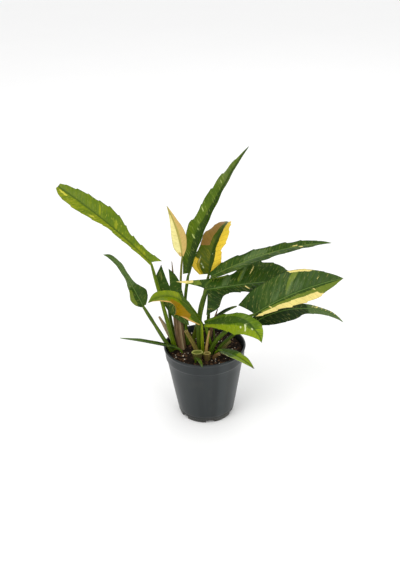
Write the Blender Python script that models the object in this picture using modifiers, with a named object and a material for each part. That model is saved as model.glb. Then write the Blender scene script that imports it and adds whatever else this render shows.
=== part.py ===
"""Potted philodendron: a variegated narrow-leaved plant with cut stubs, in soil, in a nursery pot.

Run with blender --background --python part.py, or from Blender's text editor. Metres, +Z up.
The origin is the centre of the pot's underside. The plant's front is on -Y and it is widest along X.
"""

import math
from collections import namedtuple

import bmesh
import bpy
from mathutils import Matrix, Vector

MM = 0.001

# Driving dimensions, in millimetres. The sizes below them follow from these.
POT_RADIUS = 60.0
POT_HEIGHT = 112.5
POT_BASE_RADIUS = 40.5
POT_WALL = 1.8
POT_COLLAR = 18.0
POT_STEP = 1.5
POT_LIP = 2.2
POT_FOOT = 5.5
POT_FLOOR = 2.2
POT_SEGMENTS = 48
DRAIN_COUNT = 6
DRAIN_WIDTH = 13.0
DRAIN_HEIGHT = 5.0
DRAIN_FIRST = math.radians(-83.0)

SOIL_DROP = 8.0
SOIL_UNEVEN = 1.4
SOIL_SLOPE = 0.1
SOIL_SEGMENTS = 36
GAP = 0.3

BLADE_THICK = 1.2
BLADE_ROWS = 14
BLADE_HALF_COLUMNS = 3
BLADE_TIP = 0.7
STALK_SIDES = 2
STALK_POINTS = 10
FOOT_CLEAR = 0.6
PETIOLE_SHORT = 4.0
LINE_STEPS = 12

POT_COLOUR = (0.045, 0.055, 0.056)
SOIL_COLOUR = (0.030, 0.021, 0.013)

# One row for each leaf. Lengths in millimetres, angles in degrees, spans along the blade from 0 to 1.
#   foot     where the petiole stands on the soil: x, y
#   joint    where the petiole meets the blade: x, y, z
#   lean     how late the petiole leans over: 1 is straight, more is later, less is sooner
#   bow      how far the petiole bulges sideways at its middle: x, y
#   length   length of the midrib
#   heading  which way the blade leaves the petiole, seen from above, from +X towards +Y
#   rise     how steeply the blade climbs there
#   sag      how much of that climb is lost by the tip
#   turn     how far the heading swings by the tip
#   late     how late the sag and the turn come: 1 is an even arc, more is a curled tip
#   face     where the blade's upper side looks, at its base and at its tip
#   outline  span, half width left of the midrib, half width right of it, seen with the tip ahead
#   ears     how far the basal lobes reach back past the petiole, left and right, and over what span
#   fold     how far each half is raised about the midrib, left and right
#   thick    the petiole's radius at the soil and at the blade
Leaf = namedtuple("Leaf", "name foot joint lean bow length heading rise sag turn late"
                          " face outline ears fold thick colour")

LEAVES = (
    Leaf("leaf_far_left", foot=(-44, 2), joint=(-72, 5, 245), lean=1.0, bow=(0, 0),
         length=170, heading=160, rise=44, sag=18, turn=-6, late=1.0,
         face=((0.25, -0.6, 0.75), (0.1, -0.55, 0.8)),
         outline=((0.0, 4, 13), (0.12, 5, 9), (0.3, 7, 11), (0.48, 8, 20),
                  (0.65, 14, 18), (0.82, 16, 14), (0.94, 12, 9), (1.0, 5, 5)),
         ears=(3, 10, 0.2), fold=(12, 18), thick=(3.4, 2.4), colour=(0.28, 0.42, 0.03)),
    Leaf("leaf_tall", foot=(-25, 16), joint=(-20, 18, 220), lean=1.5, bow=(-4, 6),
         length=200, heading=20, rise=74, sag=24, turn=0, late=1.0,
         face=((-0.75, -0.65, 0.2), (-0.75, -0.65, 0.2)),
         outline=((0.0, 8, 5), (0.1, 14, 8), (0.2, 18, 10), (0.33, 23, 11), (0.4, 17, 10),
                  (0.5, 17, 11), (0.62, 14, 9), (0.75, 10, 7), (0.9, 4, 3), (1.0, 0, 0)),
         ears=(4, 3, 0.2), fold=(35, 35), thick=(3.0, 2.2), colour=(0.10, 0.22, 0.02)),
    Leaf("leaf_yellow", foot=(-18, 23), joint=(9, 30, 212), lean=0.9, bow=(0, 0),
         length=105, heading=32, rise=84, sag=125, turn=50, late=2.0,
         face=((-0.1, -0.9, 0.2), (0.0, 0.3, 1.0)),
         outline=((0.0, 14, 5), (0.12, 26, 12), (0.24, 22, 17), (0.38, 19, 14), (0.52, 20, 17),
                  (0.62, 16, 16), (0.72, 13, 11), (0.86, 7, 6), (1.0, 0, 0)),
         ears=(2, 1, 0.2), fold=(10, 10), thick=(3.0, 2.4), colour=(0.62, 0.50, 0.03)),
    Leaf("leaf_cream_young", foot=(-30, 32), joint=(-28, 8, 252), lean=3.0, bow=(-3, 0),
         length=78, heading=170, rise=85, sag=18, turn=0, late=1.0,
         face=((0.1, -1.0, 0.1), (0.1, -1.0, 0.2)),
         outline=((0.0, 3, 2), (0.2, 10, 9), (0.45, 9, 11), (0.75, 4, 5), (1.0, 0, 0)),
         ears=(0, 0, 0.2), fold=(8, 16), thick=(2.0, 1.6), colour=(0.78, 0.66, 0.30)),
    Leaf("leaf_far_right", foot=(4, 13), joint=(12, 5, 221), lean=1.2, bow=(0, 2),
         length=192, heading=10, rise=24, sag=36, turn=16, late=1.0,
         face=((-0.3, -0.35, 0.9), (0.0, -0.45, 0.9)),
         outline=((0.0, 6, 5), (0.12, 13, 12), (0.3, 13, 12), (0.5, 11, 11), (0.7, 9, 8),
                  (0.88, 5, 4), (1.0, 0, 0)),
         ears=(3, 3, 0.2), fold=(12, 12), thick=(2.8, 2.0), colour=(0.05, 0.13, 0.02)),
    Leaf("leaf_broad_right", foot=(8, -14), joint=(70, -30, 177), lean=1.7, bow=(0, 0),
         length=137, heading=-8, rise=38, sag=20, turn=-5, late=1.0,
         face=((-0.35, -0.65, 0.7), (-0.15, -0.6, 0.8)),
         outline=((0.0, 24, 4), (0.12, 32, 10), (0.3, 34, 15), (0.5, 34, 20), (0.68, 26, 21),
                  (0.84, 15, 14), (0.94, 6, 6), (1.0, 0, 0)),
         ears=(16, 2, 0.2), fold=(8, 12), thick=(2.8, 2.2), colour=(0.06, 0.17, 0.03)),
    Leaf("leaf_centre_right", foot=(-6, -4), joint=(5, -5, 205), lean=2.5, bow=(-3, -1),
         length=145, heading=15, rise=0, sag=30, turn=14, late=3.0,
         face=((-0.2, -0.6, 0.8), (0.1, -0.4, 0.9)),
         outline=((0.0, 22, 22), (0.06, 5, 18), (0.13, 9, 14), (0.24, 12, 13), (0.34, 27, 14),
                  (0.55, 30, 20), (0.8, 20, 16), (1.0, 0, 0)),
         ears=(40, 6, 0.1), fold=(12, 8), thick=(4.4, 3.0), colour=(0.05, 0.14, 0.02)),
    Leaf("leaf_low_right", foot=(19, -8), joint=(75, -6, 152), lean=1.5, bow=(0, 0),
         length=152, heading=17, rise=22, sag=68, turn=0, late=1.0,
         face=((-0.3, -0.6, 0.8), (0.3, -0.5, 0.8)),
         outline=((0.0, 8, 8), (0.15, 14, 18), (0.35, 15, 18), (0.5, 8, 10), (0.75, 5, 6),
                  (0.9, 3, 3), (1.0, 0, 0)),
         ears=(2, 2, 0.2), fold=(5, 5), thick=(2.6, 2.0), colour=(0.04, 0.12, 0.02)),
    Leaf("leaf_front_left", foot=(-3, -16), joint=(-4, -16, 157), lean=1.0, bow=(0, 0),
         length=112, heading=210, rise=62, sag=88, turn=0, late=2.2,
         face=((-0.3, -0.75, 0.5), (-0.5, -0.4, 0.8)),
         outline=((0.0, 4, 3), (0.15, 14, 6), (0.4, 22, 7), (0.65, 20, 8), (0.85, 12, 8),
                  (1.0, 0, 0)),
         ears=(2, 2, 0.2), fold=(10, 40), thick=(2.8, 2.2), colour=(0.40, 0.32, 0.01)),
    Leaf("leaf_front_right", foot=(12, -4), joint=(1, -10, 152), lean=1.0, bow=(0, -4),
         length=108, heading=-31, rise=22, sag=84, turn=-32, late=3.0,
         face=((-0.2, -0.6, 0.8), (0.5, -0.6, 0.5)),
         outline=((0.0, 5, 4), (0.15, 9, 8), (0.4, 12, 16), (0.62, 14, 22), (0.82, 12, 17),
                  (1.0, 0, 0)),
         ears=(2, 2, 0.2), fold=(12, 8), thick=(2.6, 2.0), colour=(0.16, 0.34, 0.02)),
    Leaf("leaf_left_twisted", foot=(-49, -4), joint=(-86, -8, 183), lean=1.0, bow=(0, 0),
         length=118, heading=215, rise=68, sag=42, turn=15, late=4.0,
         face=((0.1, -0.8, 0.6), (0.3, -0.8, 0.5)),
         outline=((0.0, 3, 5), (0.09, 10, 12), (0.2, 12, 15), (0.32, 8, 8), (0.45, 5, 4), (0.7, 4, 4),
                  (0.9, 3, 3), (1.0, 0, 0)),
         ears=(0, 0, 0.2), fold=(10, 10), thick=(3.2, 2.4), colour=(0.06, 0.18, 0.03)),
    Leaf("leaf_behind_left", foot=(-43, 28), joint=(-48, 22, 198), lean=3.0, bow=(-7, 4),
         length=65, heading=-60, rise=-70, sag=-22, turn=45, late=1.0,
         face=((-0.1, -0.9, 0.4), (0.0, -0.8, 0.6)),
         outline=((0.0, 4, 5), (0.1, 13, 15), (0.25, 17, 18), (0.5, 14, 14), (0.8, 7, 7), (1.0, 0, 0)),
         ears=(26, 34, 0.6), fold=(5, 5), thick=(2.8, 2.2), colour=(0.06, 0.16, 0.02)),
    Leaf("leaf_small_centre", foot=(15, 10), joint=(13, 10, 148), lean=1.0, bow=(0, 1),
         length=42, heading=-6, rise=42, sag=18, turn=0, late=1.0,
         face=((0.0, -0.2, 1.0), (0.0, -0.3, 1.0)),
         outline=((0.0, 2, 2), (0.4, 3.5, 3.5), (0.8, 3, 3), (1.0, 1, 1)),
         ears=(0, 0, 0.2), fold=(25, 25), thick=(1.6, 1.2), colour=(0.06, 0.12, 0.02)),
    Leaf("leaf_blade_left", foot=(-33, -12), joint=(-43, -13, 117), lean=2.0, bow=(0, 0),
         length=82, heading=185, rise=18, sag=4, turn=0, late=1.0,
         face=((0.2, -0.1, 1.0), (0.2, -0.1, 1.0)),
         outline=((0.0, 3, 3), (0.3, 4, 4), (0.6, 4, 4), (1.0, 0, 0)),
         ears=(0, 0, 0.2), fold=(15, 15), thick=(1.8, 1.5), colour=(0.05, 0.15, 0.03)),
    Leaf("leaf_low_front", foot=(15, -17), joint=(21, -20, 114), lean=2.0, bow=(0, 0),
         length=73, heading=-46, rise=14, sag=24, turn=-8, late=1.0,
         face=((0.0, -0.2, 1.0), (0.2, -0.3, 0.9)),
         outline=((0.0, 3, 3), (0.25, 8, 8), (0.55, 8, 8), (0.8, 5, 5), (1.0, 0, 0)),
         ears=(0, 0, 0.2), fold=(10, 10), thick=(2.0, 1.8), colour=(0.14, 0.28, 0.02)),
    Leaf("leaf_tiny_front", foot=(-14, -36), joint=(-13, -40, 115), lean=2.0, bow=(0, 0),
         length=29, heading=-71, rise=16, sag=30, turn=0, late=1.0,
         face=((0.4, 0.0, 1.0), (0.4, 0.0, 1.0)),
         outline=((0.0, 1.5, 1.5), (0.35, 4, 4), (0.7, 2.5, 2.5), (1.0, 0, 0)),
         ears=(0, 0, 0.2), fold=(20, 20), thick=(1.5, 1.2), colour=(0.08, 0.20, 0.02)),
)

# One row for each leafless piece that stands in the soil.
#   foot    where it stands on the soil: x, y
#   top     where it ends: x, y, z
#   lean    how late it leans over, as for a petiole
#   radii   its radius at equal steps along its line
#   flat    how much of that radius is kept from front to back
Stub = namedtuple("Stub", "name foot top lean radii flat colour")

STUBS = (
    Stub("sheath_brown", (-34, 6), (-44, 38, 230), 0.75, (6.5, 6.5, 6.0, 3.5, 1.8, 0.6), 0.7,
         (0.30, 0.17, 0.09)),
    Stub("stub_tan_left", (-43, 10), (-65, 10, 155), 1.1, (2.4, 3.2, 1.4), 0.5, (0.50, 0.38, 0.24)),
    Stub("petiole_cut", (-10, -18), (-26, -20, 147), 1.2, (3.4, 3.2, 2.6), 1.0, (0.34, 0.26, 0.08)),
    Stub("sheath_tan", (1, -23), (7, -22, 148), 1.4, (2.0, 1.8, 1.0), 0.6, (0.50, 0.36, 0.16)),
    Stub("spike_brown", (3, -6), (20, 2, 169), 1.4, (3.0, 2.6, 0.8), 0.7, (0.32, 0.20, 0.10)),
    Stub("stem_stump_left", (-11, -29), (-11, -29, 117), 1.0, (8.0, 8.6), 0.65, (0.34, 0.40, 0.10)),
    Stub("stem_stump_right", (3, -31), (3, -31, 116), 1.0, (4.6, 5.0), 0.8, (0.38, 0.38, 0.10)),
    Stub("stub_tan_right", (27, -4), (38, 2, 115), 2.0, (2.2, 2.6, 2.2), 0.7, (0.42, 0.36, 0.16)),
    Stub("stub_brown_front", (13, -28), (20, -33, 115), 2.0, (2.6, 2.6, 2.2), 0.8, (0.36, 0.22, 0.10)),
)


def material(name, colour, roughness, metallic=0.0):
    """A plain Principled material."""
    made = bpy.data.materials.new(name)
    made.use_nodes = True
    shader = made.node_tree.nodes["Principled BSDF"]
    shader.inputs["Base Color"].default_value = (*colour, 1.0)
    shader.inputs["Roughness"].default_value = roughness
    shader.inputs["Metallic"].default_value = metallic
    return made


def place(mesh, name, made, collection):
    """Puts a mesh in a collection as a named object with one material."""
    piece = bpy.data.objects.new(name, mesh)
    collection.objects.link(piece)
    mesh.materials.clear()
    mesh.materials.append(made)
    for polygon in mesh.polygons:
        polygon.use_smooth = True
    return piece


def as_mesh(piece):
    """Replaces an object by its evaluated, welded mesh and returns the mesh."""
    graph = bpy.context.evaluated_depsgraph_get()
    mesh = bpy.data.meshes.new_from_object(piece.evaluated_get(graph))
    mesh.transform(piece.matrix_world)
    bpy.data.objects.remove(piece)
    shape = bmesh.new()
    shape.from_mesh(mesh)
    bmesh.ops.remove_doubles(shape, verts=shape.verts, dist=0.01 * MM)
    shape.to_mesh(mesh)
    shape.free()
    return mesh


def smooth_value(knots, at):
    """Reads a smooth curve through (position, value) knots; values are floats or Vectors."""
    last = len(knots) - 1
    index = 0
    while index < last - 1 and at > knots[index + 1][0]:
        index += 1
    before, start, end, after = (knots[min(max(index + step, 0), last)] for step in (-1, 0, 1, 2))
    span = end[0] - start[0]
    part = (at - start[0]) / span
    leave = (end[1] - before[1]) * (span / max(end[0] - before[0], 1e-9))
    arrive = (after[1] - start[1]) * (span / max(after[0] - start[0], 1e-9))
    square, cube = part * part, part ** 3
    return (start[1] * (2 * cube - 3 * square + 1) + leave * (cube - 2 * square + part)
            + end[1] * (3 * square - 2 * cube) + arrive * (cube - square))


def line_knots(points):
    """Knots for a line through points, spaced by the distance between them."""
    vectors = [Vector(point) for point in points]
    total = sum((b - a).length for a, b in zip(vectors, vectors[1:]))
    knots = [(0.0, vectors[0])]
    for before, after in zip(vectors, vectors[1:]):
        knots.append((knots[-1][0] + (after - before).length / total, after))
    return knots


def nearest_on_line(knots, point):
    """The nearest of the places that a stalk's rings are drawn at."""
    places = [smooth_value(knots, index / (STALK_POINTS - 1)) for index in range(STALK_POINTS)]
    return min(places, key=lambda place_on_line: (place_on_line - point).length)


def soil_height(x, y):
    """Height of the soil at a place, in millimetres: nearly level, with low mounds."""
    mounds = math.sin(0.11 * x + 1.3) * math.cos(0.13 * y - 0.4) + 0.5 * math.sin(0.23 * x - 0.19 * y)
    return POT_HEIGHT - SOIL_DROP + SOIL_UNEVEN * mounds / 1.5


def turned(name, profile, segments, made, collection):
    """Turns a closed profile of (radius, height) around Z with a Screw modifier."""
    mesh = bpy.data.meshes.new(name)
    shape = bmesh.new()
    corners = [shape.verts.new((radius * MM, 0.0, height * MM)) for radius, height in profile]
    for first, second in zip(corners, corners[1:]):
        shape.edges.new((first, second))
    shape.to_mesh(mesh)
    shape.free()
    piece = place(mesh, name, made, collection)
    screw = piece.modifiers.new("turn", "SCREW")
    screw.angle = 2 * math.pi
    screw.steps = segments
    screw.render_steps = segments
    screw.use_merge_vertices = True
    screw.merge_threshold = 0.00001
    screw.use_smooth_shade = True
    return piece


def wall_radius(height):
    """Outer radius of the tapered wall below the collar."""
    top = POT_HEIGHT - POT_COLLAR
    top_radius = POT_RADIUS - POT_LIP - POT_STEP
    return POT_BASE_RADIUS + (top_radius - POT_BASE_RADIUS) * (height / top) ** 0.97


def pot_profile():
    """The pot's section: down the outside, under the floor and up the inside."""
    collar_foot = POT_HEIGHT - POT_COLLAR
    outside = [
        (POT_RADIUS - 0.8, POT_HEIGHT),
        (POT_RADIUS, POT_HEIGHT - 0.8),
        (POT_RADIUS, POT_HEIGHT - 2.6),
        (POT_RADIUS - POT_LIP + 1.0, POT_HEIGHT - 3.6),
        (wall_radius(collar_foot) + POT_STEP, collar_foot + 1.0),
        (wall_radius(collar_foot) + 0.2, collar_foot - 0.6),
    ]
    outside += [(wall_radius(height), height) for height in (70.0, 40.0, POT_FOOT + 0.8)]
    outside += [(POT_BASE_RADIUS + 0.2, POT_FOOT)]
    outside += [(POT_BASE_RADIUS - 0.6, 0.6), (POT_BASE_RADIUS - 1.4, 0.0)]
    floor = [(0.0, 0.0), (0.0, POT_FLOOR), (POT_BASE_RADIUS - POT_WALL - 2.0, POT_FLOOR)]
    inside_heights = (POT_FOOT, 40.0, 70.0, collar_foot - 0.6)
    inside = [(wall_radius(height) - POT_WALL, height) for height in inside_heights]
    inside += [(POT_RADIUS - POT_LIP - POT_WALL + 0.8, collar_foot + 1.0)]
    inside += [(POT_RADIUS - 2.6, POT_HEIGHT)]
    return outside + floor + inside + [outside[0]]


def make_pot(parts, cutters):
    """The nursery pot, with drain notches cut through its bottom corner."""
    made = material("pot_plastic", POT_COLOUR, 0.42)
    pot = turned("pot", pot_profile(), POT_SEGMENTS, made, parts)
    mesh = bpy.data.meshes.new("drain_cutters")
    shape = bmesh.new()
    for index in range(DRAIN_COUNT):
        angle = DRAIN_FIRST + index * 2 * math.pi / DRAIN_COUNT
        turn = Matrix.Rotation(angle, 4, "Z")
        shift = Matrix.Translation((POT_BASE_RADIUS * MM, 0.0, 0.0))
        size = Matrix.Diagonal((12 * MM, DRAIN_WIDTH * MM, 2 * DRAIN_HEIGHT * MM, 1.0))
        bmesh.ops.create_cube(shape, size=1.0, matrix=turn @ shift @ size)
    shape.to_mesh(mesh)
    shape.free()
    cutter = place(mesh, "drain_cutters", made, cutters)
    cutter.hide_render = True
    cutter.display_type = "WIRE"
    cut = pot.modifiers.new("drains", "BOOLEAN")
    cut.operation = "DIFFERENCE"
    cut.object = cutter
    return pot


def make_soil(parts):
    """The soil, a plug that fills the pot to just under the rim, with an uneven top."""
    level = POT_HEIGHT - SOIL_DROP
    collar_foot = POT_HEIGHT - POT_COLLAR
    edge = POT_WALL + GAP + 0.4
    profile = [(0.0, level), (12.0, level), (24.0, level), (36.0, level), (46.0, level)]
    profile += [(wall_radius(collar_foot) - edge + 0.3, level)]
    profile += [(wall_radius(height) - edge, height) for height in (collar_foot - 1.0, 40.0, 9.0)]
    foot = POT_FLOOR + GAP
    profile += [(POT_BASE_RADIUS - 8.5, 7.0), (POT_BASE_RADIUS - 8.5, foot), (0.0, foot)]
    made = material("potting_soil", SOIL_COLOUR, 0.95)
    plug = turned("soil_plug", profile, SOIL_SEGMENTS, made, parts)
    mesh = as_mesh(plug)
    for corner in mesh.vertices:
        if corner.co.z > (level - 0.5) * MM:
            corner.co.z = soil_height(corner.co.x / MM, corner.co.y / MM) * MM
    return place(mesh, "potting_soil", made, parts)


def rising_line(foot, top, lean, bow=(0, 0), short=0.0):
    """Points of a stalk that climbs evenly from the soil while it leans over, and ends short of its top."""
    level = soil_height(foot[0], foot[1]) + FOOT_CLEAR
    until = 1.0 - short / math.dist((*foot, level), top)
    points = []
    for index in range(LINE_STEPS + 1):
        at = until * index / LINE_STEPS
        drift, bulge = at ** lean, math.sin(math.pi * at)
        points.append(Vector((foot[0] + (top[0] - foot[0]) * drift + bow[0] * bulge,
                              foot[1] + (top[1] - foot[1]) * drift + bow[1] * bulge,
                              level + (top[2] - level) * at)))
    return points


def midrib_line(leaf):
    """Points of the midrib, which leaves the petiole at the leaf's heading and rise and bends to its tip."""
    points = [Vector(leaf.joint)]
    for index in range(LINE_STEPS):
        bent = ((index + 0.5) / LINE_STEPS) ** leaf.late
        rise = math.radians(leaf.rise - leaf.sag * bent)
        heading = math.radians(leaf.heading + leaf.turn * bent)
        level = math.cos(rise)
        ahead = Vector((level * math.cos(heading), level * math.sin(heading), math.sin(rise)))
        points.append(points[-1] + ahead * leaf.length / LINE_STEPS)
    return points


def blade_frame(leaf, span):
    """Midrib point and the blade's ahead, right and up directions at a span."""
    knots = line_knots(midrib_line(leaf))
    point = smooth_value(knots, span)
    before, after = smooth_value(knots, max(span - 0.01, 0.0)), smooth_value(knots, min(span + 0.01, 1.0))
    ahead = (after - before).normalized()
    face = Vector(leaf.face[0]).lerp(Vector(leaf.face[1]), span)
    right = ahead.cross(face).normalized()
    return point, ahead, right, right.cross(ahead)


def blade_point(leaf, span, across):
    """A point of the blade: across runs from -1 at the left edge to 1 at the right edge."""
    point, ahead, right, up = blade_frame(leaf, span)
    side = 0 if across < 0 else 1
    half = max(smooth_value([(row[0], float(row[1 + side])) for row in leaf.outline], span), BLADE_TIP)
    angle = math.radians(leaf.fold[side])
    back = leaf.ears[side] * max(0.0, 1.0 - span / leaf.ears[2]) ** 1.5 * abs(across) ** 1.3
    reach = half * across
    return point + right * reach * math.cos(angle) + up * abs(reach) * math.sin(angle) - ahead * back


def make_blade(leaf, parts):
    """A blade: a grid moved onto the leaf's surface and thickened."""
    mesh = bpy.data.meshes.new(leaf.name + "_blade")
    shape = bmesh.new()
    bmesh.ops.create_grid(shape, x_segments=2 * BLADE_HALF_COLUMNS, y_segments=BLADE_ROWS, size=1.0)
    for corner in shape.verts:
        corner.co = blade_point(leaf, (corner.co.y + 1.0) / 2.0, corner.co.x) * MM
    shape.to_mesh(mesh)
    shape.free()
    blade = place(mesh, leaf.name + "_blade", material(leaf.name, leaf.colour, 0.35), parts)
    skin = blade.modifiers.new("thickness", "SOLIDIFY")
    skin.thickness = BLADE_THICK * MM
    skin.offset = 0.0
    return blade


def rod(name, points, radii, flat, made, parts):
    """A tapered stalk along a smooth line, flattened front to back by flat."""
    curve = bpy.data.curves.new(name, "CURVE")
    curve.dimensions = "3D"
    curve.bevel_depth = MM
    curve.bevel_resolution = STALK_SIDES
    curve.use_fill_caps = True
    spline = curve.splines.new("POLY")
    spline.points.add(STALK_POINTS - 1)
    knots = line_knots(points)
    widths = [(index / (len(radii) - 1), float(radius)) for index, radius in enumerate(radii)]
    for index, corner in enumerate(spline.points):
        at = index / (STALK_POINTS - 1)
        corner.co = (*(smooth_value(knots, at) * MM), 1.0)
        corner.radius = smooth_value(widths, at)
    piece = bpy.data.objects.new(name, curve)
    parts.objects.link(piece)
    curve.materials.append(made)
    bpy.context.view_layer.update()
    mesh = as_mesh(piece)
    for corner in mesh.vertices:
        centre = nearest_on_line(knots, corner.co / MM)
        corner.co.y = (centre.y + (corner.co.y / MM - centre.y) * flat) * MM
    return place(mesh, name, made, parts)


def stood_on_soil(line, radius):
    """A stalk's points with the first one moved so that the whole end ring just clears the soil."""
    points = [Vector(point) for point in line]
    foot, ahead = points[0], (points[1] - points[0]).normalized()
    lean = math.hypot(ahead.x, ahead.y)
    foot.z = soil_height(foot.x, foot.y) + GAP + FOOT_CLEAR + radius * (lean + SOIL_SLOPE)
    return points


def make_stalk(leaf, parts):
    """A leaf's petiole, from just above the soil to just short of its blade."""
    points = rising_line(leaf.foot, leaf.joint, leaf.lean, leaf.bow, PETIOLE_SHORT)
    points = stood_on_soil(points, leaf.thick[0])
    made = material(leaf.name + "_stalk", tuple(0.8 * part + 0.02 for part in leaf.colour), 0.4)
    return rod(leaf.name + "_petiole", points, leaf.thick, 1.0, made, parts)


def make_stub(stub, parts):
    """A sheath, spike or cut stub."""
    points = stood_on_soil(rising_line(stub.foot, stub.top, stub.lean), stub.radii[0])
    made = material(stub.name, stub.colour, 0.7)
    return rod(stub.name, points, stub.radii, stub.flat, made, parts)


def main():
    """Builds every part of the plant and its pot."""
    for old in list(bpy.data.objects):
        bpy.data.objects.remove(old)
    parts = bpy.data.collections.new("potted_philodendron")
    cutters = bpy.data.collections.new("cutters")
    for group in (parts, cutters):
        bpy.context.scene.collection.children.link(group)
    make_pot(parts, cutters)
    make_soil(parts)
    for leaf in LEAVES:
        make_stalk(leaf, parts)
        make_blade(leaf, parts)
    for stub in STUBS:
        make_stub(stub, parts)


main()
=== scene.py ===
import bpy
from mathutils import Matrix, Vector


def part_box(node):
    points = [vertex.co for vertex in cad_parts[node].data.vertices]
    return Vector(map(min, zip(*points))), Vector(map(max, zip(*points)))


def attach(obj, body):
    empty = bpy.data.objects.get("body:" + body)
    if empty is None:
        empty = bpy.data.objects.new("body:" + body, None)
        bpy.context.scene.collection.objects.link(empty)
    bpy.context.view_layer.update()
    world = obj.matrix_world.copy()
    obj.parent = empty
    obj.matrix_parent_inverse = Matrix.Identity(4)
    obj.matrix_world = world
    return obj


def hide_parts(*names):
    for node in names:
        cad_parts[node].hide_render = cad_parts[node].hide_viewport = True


bl_info = {
    "name": "Potted Philodendron",
    "version": (1, 0, 0),
    "blender": (4, 5, 0),
    "location": "View3D > Sidebar > Philodendron",
    "description": "Builds a variegated philodendron with cut stubs in a nursery pot",
    "category": "Add Mesh",
}

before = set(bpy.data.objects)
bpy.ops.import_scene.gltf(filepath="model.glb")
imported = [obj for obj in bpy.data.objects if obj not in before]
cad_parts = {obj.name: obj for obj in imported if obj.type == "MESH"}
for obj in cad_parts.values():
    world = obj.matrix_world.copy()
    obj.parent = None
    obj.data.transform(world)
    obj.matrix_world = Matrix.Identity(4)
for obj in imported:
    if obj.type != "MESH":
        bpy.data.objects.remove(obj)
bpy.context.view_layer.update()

import math
import random
from collections import namedtuple

import bmesh
import bpy
import numpy as np
from bpy.props import FloatProperty, FloatVectorProperty, IntProperty, PointerProperty
from mathutils import Matrix, Vector, noise

MM = 0.001
POT_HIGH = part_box("pot")[1]
SOIL_DROP = 8.0
SOIL_LEVEL = POT_HIGH.z / MM - SOIL_DROP
TIP_HALF = 0.35
VEIN_LEAN = 0.75
SINK = 7.0
LINE_STEPS = 12
PETIOLE_SHORT = 4.0

# One row for each leaf. Lengths in millimetres, spans along the blade from 0 at its base to 1 at its tip.
#   foot     where the petiole stands on the soil: x, y
#   joint    where the petiole meets the blade: x, y, z
#   lean     how late the petiole leans over: 1 is straight, more is later, less is sooner
#   bow      how far the petiole bulges sideways at its middle: x, y
#   length   length of the midrib
#   heading  which way the blade leaves the petiole, seen from above, from +X towards +Y, in degrees
#   rise     how steeply the blade climbs there, in degrees
#   sag      how much of that climb is lost by the tip
#   turn     how far the heading swings by the tip
#   late     how late the sag and the turn come: 1 is an even arc, more is a curled tip
#   face     where the blade's upper side looks, at its base and at its tip
#   outline  span, half width left of the midrib, half width right of it, seen with the tip ahead
#   ears     how far the basal lobes reach back past the petiole, left and right, and over what span
#   teeth    how many teeth run along a margin, and how deep they are, left and right
#   fold     how far each half is raised about the midrib, in degrees, left and right
#   wave     ruffle height at the margins and its length along the blade
#   veins    spacing of the lateral veins and how far they stand out
#   thick    the petiole's radius at the soil and at the blade
#   style    the palette row, and marks is the list of coloured patches
Leaf = namedtuple("Leaf", "name foot joint lean bow length heading rise sag turn late"
                          " face outline ears teeth fold wave veins thick style marks")

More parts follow.
